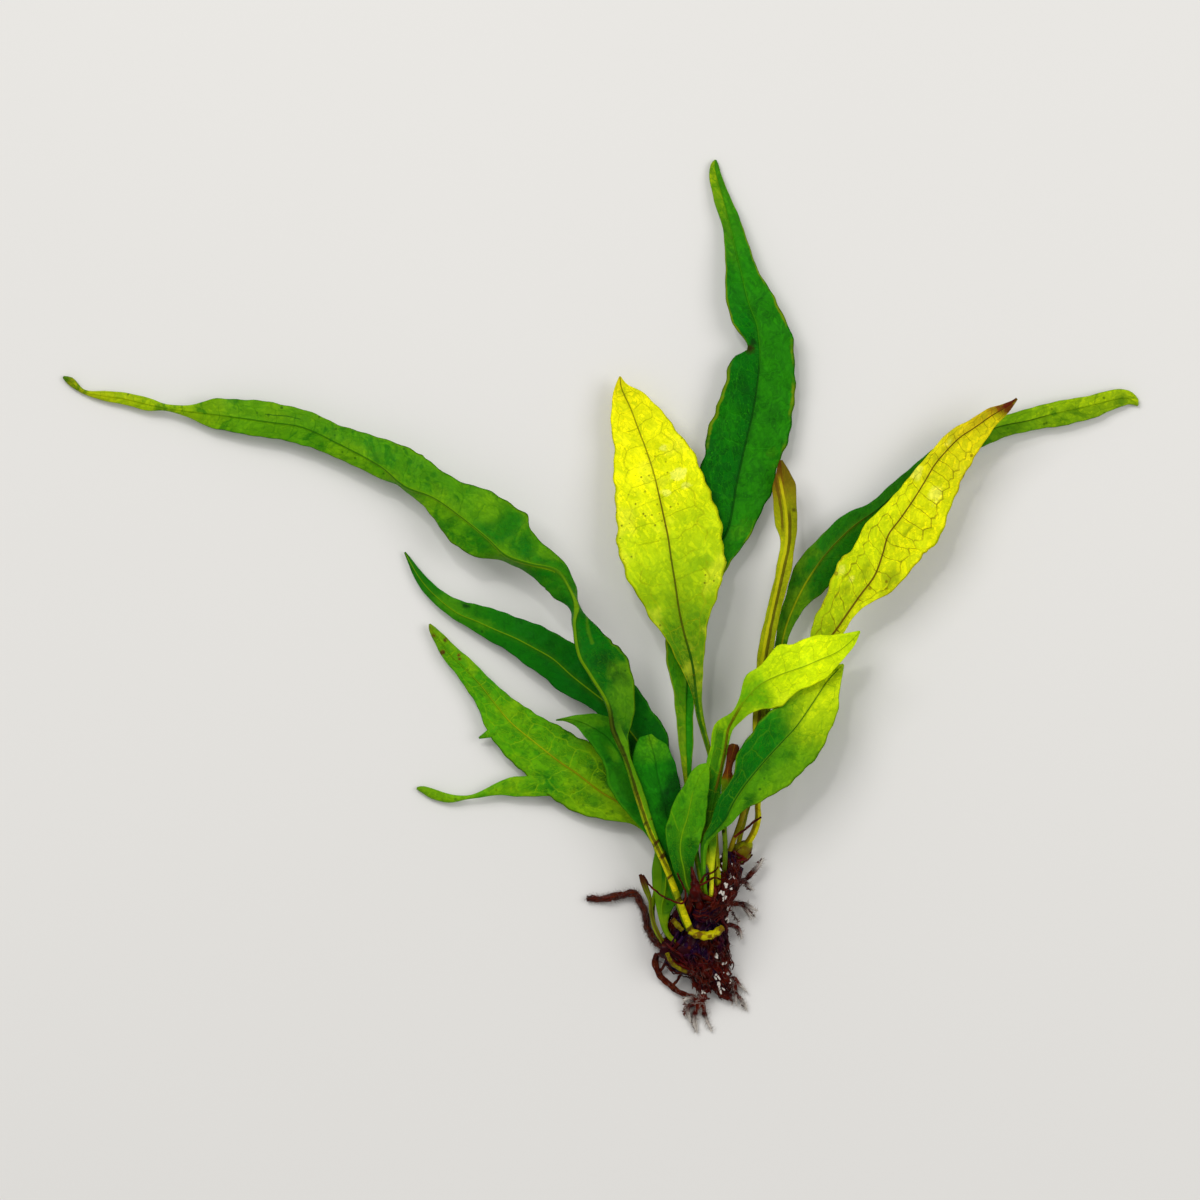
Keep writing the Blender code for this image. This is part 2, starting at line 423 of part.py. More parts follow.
ROOT_STRANDS = [
    [(13.2, -71.4, 6.2, 0.7), (15.4, -73.6, 6.0, 0.7), (18.2, -74.6, 5.4, 0.6), (21.4, -77.4, 4.4, 0.5)],
    [(17.0, -69.6, 7.2, 0.7), (19.4, -72.6, 6.4, 0.7), (20.8, -76.0, 5.0, 0.6), (21.2, -79.4, 2.8, 0.5)],
    [(21.6, -66.4, 7.4, 0.8), (23.4, -69.4, 6.2, 0.7), (24.6, -73.0, 4.4, 0.6), (25.2, -77.6, 2.4, 0.6)],
    [(22.8, -62.4, 7.4, 0.8), (24.2, -65.0, 6.0, 0.7), (24.6, -69.0, 4.4, 0.6), (25.6, -73.6, 2.6, 0.5)],
    [(24.0, -58.6, 7.2, 0.7), (24.9, -61.2, 6.0, 0.7), (24.4, -65.0, 4.4, 0.6), (24.8, -71.0, 3.6, 0.5)],
    [(25.4, -55.6, 6.8, 0.7), (26.8, -58.4, 5.4, 0.6), (24.9, -62.4, 4.6, 0.6), (23.8, -67.8, 5.2, 0.5)],
    [(18.4, -66.8, 7.2, 0.6), (20.8, -69.6, 6.6, 0.6), (22.8, -73.4, 4.8, 0.5), (26.2, -78.6, 1.8, 0.5)],
]
BRANCH_FRONT = [
    (17.9, -67.0, 9.6, 0.7),
    (19.2, -67.6, 9.4, 0.85),
    (20.8, -68.0, 9.3, 0.9),
    (22.4, -67.8, 9.2, 0.85),
    (24.6, -66.4, 8.6, 0.7),
]
ROOT_LONG_LEFT = [
    (9.9, -67.4, 2.2, 0.75),
    (9.4, -65.6, 1.8, 0.75),
    (8.8, -63.2, 1.4, 0.7),
    (8.0, -61.2, 1.1, 0.7),
    (6.8, -59.8, 1.0, 0.7),
    (4.4, -60.2, 0.9, 0.65),
    (0.8, -60.9, 0.8, 0.6),
    (-2.6, -61.0, 0.6, 0.4),
]
ROOT_RUNNER = [
    (15.4, -55.4, 12.6, 0.2),
    (16.2, -57.2, 12.7, 0.2),
    (17.0, -59.2, 12.6, 0.2),
    (17.0, -60.6, 12.2, 0.2),
    (16.0, -61.4, 11.8, 0.2),
    (13.4, -60.5, 11.2, 0.2),
    (11.4, -59.3, 9.9, 0.2),
    (9.6, -57.6, 8.3, 0.2),
    (8.6, -56.0, 7.2, 0.2),
]
ROOT_SPIKE = [
    (19.2, -60.8, 12.4, 1.1),
    (19.0, -58.8, 12.9, 1.2),
    (18.7, -57.0, 13.0, 0.7),
    (18.2, -54.2, 13.0, 0.2),
]
ROOT_CROSSING = [
    (26.8, -48.4, 9.6, 0.25),
    (29.0, -46.6, 9.4, 0.25),
    (30.6, -45.4, 9.2, 0.25),
    (32.2, -44.2, 9.0, 0.2),
]
ROOT_LOOP_LEFT = [
    (11.6, -72.0, 1.6, 0.6),
    (11.0, -73.8, 1.4, 0.6),
    (12.0, -76.2, 1.2, 0.6),
    (14.0, -78.4, 1.0, 0.6),
    (16.2, -79.8, 0.9, 0.55),
    (19.0, -80.9, 0.8, 0.45),
    (21.6, -81.0, 0.7, 0.35),
]
STALK_REMNANT = [
    (13.4, -71.6, 8.5, 0.4),
    (14.2, -73.2, 7.9, 0.4),
    (15.4, -74.4, 7.3, 0.4),
    (17.4, -75.4, 6.6, 0.35),
]
TUFT_BOTTOM = [
    [(20.8, -80.9, 2.3, 0.6), (20.0, -82.1, 1.9, 0.6), (18.8, -84.6, 0.7, 0.5), (19.4, -87.8, 0.5, 0.15)],
    [(19.8, -81.7, 2.1, 0.45), (17.8, -82.6, 1.1, 0.5), (17.6, -84.2, 0.6, 0.4), (18.4, -86.0, 0.5, 0.15)],
    [(20.6, -81.7, 2.1, 0.5), (21.0, -84.0, 0.8, 0.4), (22.4, -87.6, 0.5, 0.15)],
    [(20.2, -81.2, 2.2, 0.5), (18.2, -80.9, 2.2, 0.4), (16.6, -81.4, 1.5, 0.2)],
]
TUFT_LOW_RIGHT = [
    [(26.8, -77.0, 1.6, 0.5), (27.9, -78.2, 1.2, 0.4), (29.4, -79.6, 0.9, 0.15)],
    [(26.9, -78.2, 1.5, 0.45), (27.2, -80.4, 1.1, 0.4), (27.4, -82.2, 0.8, 0.15)],
    [(27.2, -80.0, 1.2, 0.4), (28.4, -81.6, 0.9, 0.3), (29.2, -83.4, 0.6, 0.15)],
]
TUFT_UPPER_RIGHT = [
    [(28.6, -57.4, 3.2, 0.5), (29.9, -56.4, 3.2, 0.5), (31.5, -54.8, 3.0, 0.35), (32.8, -52.8, 2.8, 0.15)],
    [(29.0, -57.4, 3.2, 0.45), (29.7, -58.2, 2.9, 0.4), (30.6, -59.2, 2.6, 0.15)],
]
TUFT_MID_RIGHT = [
    [(28.4, -62.0, 2.8, 0.5), (29.4, -62.2, 2.6, 0.4), (31.4, -63.4, 2.2, 0.15)],
    [(28.5, -62.1, 2.8, 0.45), (29.6, -63.4, 2.4, 0.3), (30.6, -65.0, 2.0, 0.15)],
]
TUFT_LEAN_RIGHT = [
    [(27.4, -66.6, 2.6, 0.45), (28.1, -67.6, 2.2, 0.35), (28.4, -69.0, 1.8, 0.15)],
]
ROOT_NODES = [
    ("branch_front", [BRANCH_FRONT], (0.30, 0.26, 0.03), 0.45),
    ("stalk_remnant", [STALK_REMNANT], (0.30, 0.26, 0.03), 0.45),
    ("root_long_left", [ROOT_LONG_LEFT], (0.09, 0.02, 0.01), 0.5),
    ("root_runner", [ROOT_RUNNER], (0.04, 0.01, 0.01), 0.4),
    ("root_spike", [ROOT_SPIKE], (0.07, 0.005, 0.004), 0.4),
    ("root_crossing", [ROOT_CROSSING], (0.04, 0.01, 0.01), 0.4),
    ("root_loop_left", [ROOT_LOOP_LEFT], (0.06, 0.008, 0.006), 0.4),
    ("root_tuft_bottom", TUFT_BOTTOM, (0.06, 0.008, 0.006), 0.4),
    ("root_tuft_low_right", TUFT_LOW_RIGHT, (0.06, 0.008, 0.006), 0.4),
    ("root_tuft_upper_right", TUFT_UPPER_RIGHT, (0.06, 0.008, 0.006), 0.4),
    ("root_tuft_mid_right", TUFT_MID_RIGHT, (0.06, 0.008, 0.006), 0.4),
    ("root_tuft_lean_right", TUFT_LEAN_RIGHT, (0.06, 0.008, 0.006), 0.4),
]


def clear_scene():
    """Remove every object from the open scene."""
    for obj in list(bpy.data.objects):
        bpy.data.objects.remove(obj, do_unlink=True)


def material(name, colour, roughness):
    """A Principled material in one colour."""
    mat = bpy.data.materials.new(name)
    mat.use_nodes = True
    shader = mat.node_tree.nodes["Principled BSDF"]
    shader.inputs["Base Color"].default_value = (*colour, 1.0)
    shader.inputs["Roughness"].default_value = roughness
    shader.inputs["Metallic"].default_value = 0.0
    return mat


def smooth_rows(rows, longest):
    """The rows and, where two of them are far apart, points of a smooth curve between them."""
    places = [Vector(row[:3]) for row in rows]
    knots = [0.0]
    for here, there in zip(places, places[1:]):
        knots.append(knots[-1] + (there - here).length)
    slopes = []
    for index, row in enumerate(rows):
        before = max(index - 1, 0)
        after = min(index + 1, len(rows) - 1)
        span = knots[after] - knots[before]
        slopes.append([(b - a) / span for a, b in zip(rows[before], rows[after])])
    result = [tuple(rows[0])]
    for index in range(len(rows) - 1):
        span = knots[index + 1] - knots[index]
        pieces = 1 + int(span / longest)
        for piece in range(1, pieces + 1):
            t = piece / pieces
            ease = t * t * (3.0 - 2.0 * t)
            leave = t * (1.0 - t) * (1.0 - t) * span
            arrive = -t * t * (1.0 - t) * span
            row = []
            for channel, (a, b) in enumerate(zip(rows[index], rows[index + 1])):
                bend = slopes[index][channel] * leave + slopes[index + 1][channel] * arrive
                row.append(a + (b - a) * ease + bend)
            result.append(tuple(row))
    return result


def blade_share(width):
    """0 for a stalk's width, 1 for a blade's, and an even change between them."""
    t = min(max((width - STALK_WIDTH) / (BLADE_WIDTH - STALK_WIDTH), 0.0), 1.0)
    return t * t * (3.0 - 2.0 * t)


def frond_section(left, right, rise_left, rise_right, along):
    """Eight points around a frond, as sideways and upward distances from its midrib."""
    blade = blade_share(left + right)
    rib = STALK_HALF + (RIB_HALF_BASE + (RIB_HALF_TIP - RIB_HALF_BASE) * along - STALK_HALF) * blade
    rib = min(rib, 0.5 * (left + right) + 0.05)
    reach = 0.72 + (0.5 - 0.72) * blade
    half = 0.7 * rib + (BLADE_HALF - 0.7 * rib) * blade
    margin_left = Vector((left, rise_left))
    margin_right = Vector((-right, rise_right))
    up_left = Vector((-rise_left, left)).normalized()
    up_right = Vector((rise_right, right)).normalized()
    up = (up_left + up_right).normalized()
    return [
        margin_left,
        margin_left * reach + up_left * half,
        up * rib,
        margin_right * reach + up_right * half,
        margin_right,
        margin_right * reach - up_right * half,
        up * -rib,
        margin_left * reach - up_left * half,
    ]


def loft(bm, rings):
    """Join closed rings into a skin and cap both ends."""
    layers = [[bm.verts.new(point) for point in ring] for ring in rings]
    count = len(layers[0])
    for low, high in zip(layers, layers[1:]):
        for side in range(count):
            other = (side + 1) % count
            bm.faces.new((low[side], low[other], high[other], high[side]))
    bm.faces.new(list(reversed(layers[0])))
    bm.faces.new(layers[-1])


def headings(rows):
    """Unit directions along the rows' places."""
    places = [Vector(row[:3]) for row in rows]
    result = []
    for index in range(len(places)):
        before = places[max(index - 1, 0)]
        after = places[min(index + 1, len(places) - 1)]
        result.append((after - before).normalized())
    return result


def solid(name, rings):
    """A mesh object from closed rings given in millimetres."""
    bm = bmesh.new()
    loft(bm, [[(point - CENTRE) * MM for point in ring] for ring in rings])
    bmesh.ops.recalc_face_normals(bm, faces=bm.faces)
    mesh = bpy.data.meshes.new(name)
    bm.to_mesh(mesh)
    bm.free()
    obj = bpy.data.objects.new(name, mesh)
    bpy.context.scene.collection.objects.link(obj)
    return obj


def frond_solid(name, stations):
    """One frond swept through its stations."""
    rows = smooth_rows(stations, FROND_STEP)
    rings = []
    for index, (row, heading) in enumerate(zip(rows, headings(rows))):
        across = Vector((-heading.y, heading.x, 0.0)).normalized()
        section = frond_section(*row[3:7], index / (len(rows) - 1))
        middle = Vector(row[:3])
        rings.append([middle + across * side + Vector((0.0, 0.0, up)) for side, up in section])
    return solid(name, rings)


def tube_solid(name, route, sides, longest):
    """A round root or stem through its route, with the route's radius at each point."""
    rows = smooth_rows(route, longest)
    rings = []
    for row, heading in zip(rows, headings(rows)):
        across = heading.orthogonal() if abs(heading.z) > 0.95 else heading.cross(UP)
        across.normalize()
        over = across.cross(heading).normalized()
        middle = Vector(row[:3])
        ring = []
        for side in range(sides):
            angle = 2.0 * math.pi * side / sides
            spoke = across * math.cos(angle) + over * math.sin(angle)
            ring.append(middle + spoke * row[3])
        rings.append(ring)
    return solid(name, rings)


def fuse(base, others):
    """Grow the other solids into the base with exact unions, and remove them."""
    for other in others:
        modifier = base.modifiers.new(other.name, "BOOLEAN")
        modifier.operation = "UNION"
        modifier.solver = "EXACT"
        modifier.object = other
    bpy.context.view_layer.update()
    depsgraph = bpy.context.evaluated_depsgraph_get()
    mesh = bpy.data.meshes.new_from_object(base.evaluated_get(depsgraph))
    base.modifiers.clear()
    base.data = mesh
    for other in others:
        bpy.data.objects.remove(other, do_unlink=True)


def finish(obj, colour, roughness):
    """Give a piece its own material and smooth shading."""
    obj.data.materials.clear()
    obj.data.materials.append(material(obj.name, colour, roughness))
    obj.data.shade_smooth()
    obj.data.set_sharp_from_angle(angle=math.radians(50.0))


def build_fronds():
    """Each frond, with its side lobes grown into it."""
    for name, stations, side_pieces, colour, roughness in FRONDS:
        frond = frond_solid(name, stations)
        lobes = [frond_solid(name + "_lobe", piece) for piece in side_pieces]
        if lobes:
            fuse(frond, lobes)
        finish(frond, colour, roughness)


def build_rhizome():
    """The creeping stem and the dense roots matted under and beside it."""
    rhizome = tube_solid("rhizome", RHIZOME, RHIZOME_SIDES, RHIZOME_STEP)
    mass = tube_solid("root_mass", ROOT_MASS, RHIZOME_SIDES, RHIZOME_STEP)
    low = tube_solid("root_mass_low", ROOT_MASS_LOW, RHIZOME_SIDES, RHIZOME_STEP)
    prong = tube_solid("root_prong", ROOT_PRONG, ROOT_SIDES, RHIZOME_STEP)
    crown = tube_solid("root_crown", ROOT_CROWN, RHIZOME_SIDES, RHIZOME_STEP)
    shoulder = tube_solid("root_shoulder", ROOT_SHOULDER, RHIZOME_SIDES, RHIZOME_STEP)
    strands = [tube_solid("strand", route, ROOT_SIDES, STRAND_STEP) for route in ROOT_STRANDS]
    fuse(rhizome, [mass, low, prong, crown, shoulder] + strands)
    finish(rhizome, (0.05, 0.006, 0.005), 0.4)


def build_roots():
    """The roots that stand clear of the mass, and two remnants of old stalks."""
    for name, routes, colour, roughness in ROOT_NODES:
        strands = [tube_solid(name, route, ROOT_SIDES, ROOT_STEP) for route in routes]
        if len(strands) > 1:
            fuse(strands[0], strands[1:])
        finish(strands[0], colour, roughness)


clear_scene()
build_fronds()
build_rhizome()
build_roots()
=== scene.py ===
# %% [markdown]
# # A bare-root java fern, lying on a table
# A java fern is a water plant. Its leaves, called fronds, grow one by one from a
# creeping stem, the rhizome, which is matted with dark wiry roots. This lesson dresses
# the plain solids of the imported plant: each frond becomes a fine blade with a midrib,
# veins and a wavy margin, and the root solids become a tangle of real strands.

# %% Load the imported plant
import math
import random

import bmesh
import bpy
import numpy as np
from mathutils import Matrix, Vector


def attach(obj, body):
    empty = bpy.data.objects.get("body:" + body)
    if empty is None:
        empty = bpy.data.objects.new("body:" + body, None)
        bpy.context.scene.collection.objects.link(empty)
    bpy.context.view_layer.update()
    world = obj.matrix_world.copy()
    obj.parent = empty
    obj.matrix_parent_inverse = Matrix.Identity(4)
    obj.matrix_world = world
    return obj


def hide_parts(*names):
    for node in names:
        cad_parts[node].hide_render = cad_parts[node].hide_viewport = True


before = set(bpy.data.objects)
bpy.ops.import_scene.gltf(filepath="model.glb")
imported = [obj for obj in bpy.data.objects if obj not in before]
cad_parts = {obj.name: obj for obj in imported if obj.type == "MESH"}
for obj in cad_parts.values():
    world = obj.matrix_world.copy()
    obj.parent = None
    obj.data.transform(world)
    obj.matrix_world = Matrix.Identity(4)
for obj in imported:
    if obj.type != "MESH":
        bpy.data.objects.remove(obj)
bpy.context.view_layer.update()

# %% [markdown]
# ## Lengths and smooth routes
# The plant is measured in millimetres, as one would with a ruler on the table, and
# Blender's metres come in at the very end. A frond is described by a list of stations
# from its base to its tip. Between two stations every value follows a cubic curve, so
# that a few well placed stations are enough for a smooth leaf.

# %% Millimetres and smooth routes
MM = 0.001
CENTRE = np.array([0.12, -0.09, -0.04])
UP = np.array([0.0, 0.0, 1.0])


def smooth_rows(rows, longest):
    """The rows as an array, with points of a smooth curve filled in between them."""
    rows = np.array(rows, float)
    steps = np.linalg.norm(np.diff(rows[:, :3], axis=0), axis=1)
    knots = np.concatenate([[0.0], np.cumsum(steps)])
    last = len(rows) - 1
    before = np.maximum(np.arange(len(rows)) - 1, 0)
    after = np.minimum(np.arange(len(rows)) + 1, last)
    slopes = (rows[after] - rows[before]) / (knots[after] - knots[before])[:, None]
    result = [rows[:1]]
    for index, span in enumerate(steps):
        pieces = 1 + int(span / longest)
        t = (np.arange(pieces) + 1.0)[:, None] / pieces
        ease = t * t * (3.0 - 2.0 * t)
        leave = t * (1.0 - t) ** 2 * span
        arrive = -t * t * (1.0 - t) * span
        change = rows[index + 1] - rows[index]
        bend = slopes[index] * leave + slopes[index + 1] * arrive
        result.append(rows[index] + change * ease + bend)
    return np.concatenate(result)


def lengths_along(places):
    """How far along a route each of its points lies."""
    steps = np.linalg.norm(np.diff(places, axis=0), axis=1)
    return np.concatenate([[0.0], np.cumsum(steps)])


def headings(places):
    """Unit directions along a route's points."""
    ahead = np.gradient(places, axis=0)
    return ahead / np.linalg.norm(ahead, axis=1)[:, None]


def smoothstep(low, high, value):
    """0 below low, 1 above high and an even change between them."""
    t = np.clip((value - low) / (high - low), 0.0, 1.0)
    return t * t * (3.0 - 2.0 * t)


def on_plant(obj, node):
    """Put a finished piece on the plant in place of a CAD node."""
    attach(obj, "root")
    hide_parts(node)
    print(obj.name, "has", len(obj.data.polygons), "faces")


def new_object(name, mesh):
    """An object at the origin that holds the mesh."""
    obj = bpy.data.objects.new(name, mesh)
    bpy.context.scene.collection.objects.link(obj)
    return obj


print("one millimetre is", MM, "metres")

# %% [markdown]
# ## Shader maths as plain expressions
# A leaf's colour is a sum of many small things: a pale rib, a net of veins, a darker
# patch, a brown speck. In Blender each sum or product is a Math node. The small class
# below wraps a socket, so that `1 - mask * 0.5` in Python adds those nodes by itself.

# %% A socket that can be added and multiplied


def operator(operation, reflected=False):
    """A method that adds one Math node; reflected, the value comes second."""

    def method(self, *others):
        values = (*others, self) if reflected else (self, *others)
        return self.kit.add("ShaderNodeMath", {"operation": operation}, dict(enumerate(values)))

    return method


class Value:
    """A shader socket with Python's arithmetic."""

    __add__ = operator("ADD")
    __radd__ = operator("ADD", reflected=True)
    __sub__ = operator("SUBTRACT")
    __rsub__ = operator("SUBTRACT", reflected=True)
    __mul__ = operator("MULTIPLY")
    __rmul__ = operator("MULTIPLY", reflected=True)
    __truediv__ = operator("DIVIDE")
    __pow__ = operator("POWER")
    __abs__ = operator("ABSOLUTE")
    at_least = operator("MAXIMUM")
    at_most = operator("MINIMUM")
    to_and_fro = operator("PINGPONG")

    def __init__(self, kit, socket):
        self.kit = kit
        self.socket = socket

    def _change(self, edge, soft, before, after):
        ends = {"From Min": edge, "From Max": edge + soft, "To Min": before, "To Max": after}
        smooth = {"interpolation_type": "SMOOTHSTEP"}
        return self.kit.add("ShaderNodeMapRange", smooth, {"Value": self, **ends})

    def below(self, edge, soft):
        """1 where the value is under edge, fading to 0 over soft."""
        return self._change(edge, soft, 1.0, 0.0)

    def above(self, edge, soft):
        """1 where the value is over edge + soft, fading to 0 at edge."""
        return self._change(edge, soft, 0.0, 1.0)


print("a value is a socket with + - * / and **")

# %% A material and its colours


def seen(red, green, blue):
    """A colour as a screen shows it, 0 to 255, turned into the light it stands for."""
    light = []
    for level in (red, green, blue):
        share = level / 255.0
        light.append(share / 12.92 if share <= 0.04045 else ((share + 0.055) / 1.055) ** 2.4)
    return (*light, 1.0)


class Wiring:
    """Adds nodes to one node tree and links them."""

    def __init__(self, tree):
        self.tree = tree

    def add(self, kind, settings, inputs, output=0):
        """Add one node: its settings first, then the values or links of its sockets."""
        node = self.tree.nodes.new(kind)
        for key, setting in settings.items():
            if key == "stops":
                self._ramp(node.color_ramp, setting)
            else:
                setattr(node, key, setting)
        for key, value in inputs.items():
            self.feed(node.inputs[key], value)
        return Value(self, node.outputs[output])

    def feed(self, socket, value):
        """Link a value to a socket, or set a number or a colour of three screen levels."""
        if isinstance(value, Value):
            self.tree.links.new(value.socket, socket)
        elif socket.type == "RGBA" and len(value) == 3:
            socket.default_value = seen(*value)
        else:
            socket.default_value = value

    def _ramp(self, ramp, stops):
        while len(ramp.elements) > 1:
            ramp.elements.remove(ramp.elements[-1])
        for index, (place, *levels) in enumerate(stops):
            element = ramp.elements[0] if index == 0 else ramp.elements.new(place)
            element.position = place
            element.color = seen(*levels)

    def axes(self, vector, count):
        """The first two or all three numbers of a vector."""
        kind = "ShaderNodeSeparateXYZ"
        return [self.add(kind, {}, {0: vector}, output=axis) for axis in range(count)]

    def noise(self, vector, scale, detail=2.0, roughness=0.5):
        """Soft cloudy noise between 0 and 1."""
        inputs = {"Vector": vector, "Scale": scale, "Detail": detail, "Roughness": roughness}
        return self.add("ShaderNodeTexNoise", {}, inputs)


class Finish(Wiring):
    """A material and the nodes that make it."""

    def __init__(self, name, **constants):
        self.material = bpy.data.materials.new(name)
        self.material.use_nodes = True
        super().__init__(self.material.node_tree)
        self.shader = self.tree.nodes["Principled BSDF"]
        self.surface(**constants)

    def blend(self, base, over, mask, mode="MIX"):
        """Lay one colour over another where the mask says."""
        settings = {"data_type": "RGBA", "blend_type": mode}
        return self.add("ShaderNodeMix", settings, {0: mask, 6: base, 7: over}, output=2)

    def surface(self, **inputs):
        """Feed numbers, or values that change over the surface, to the shader."""
        for socket, value in inputs.items():
            self.feed(self.shader.inputs[socket.replace("_", " ")], value)

    def bump(self, height, strength, distance):
        """A normal raised where height is high, by distance metres."""
        inputs = {"Height": height, "Strength": strength, "Distance": distance}
        return self.add("ShaderNodeBump", {}, inputs)


print("a mid green is", [round(level, 3) for level in seen(60, 130, 0)])
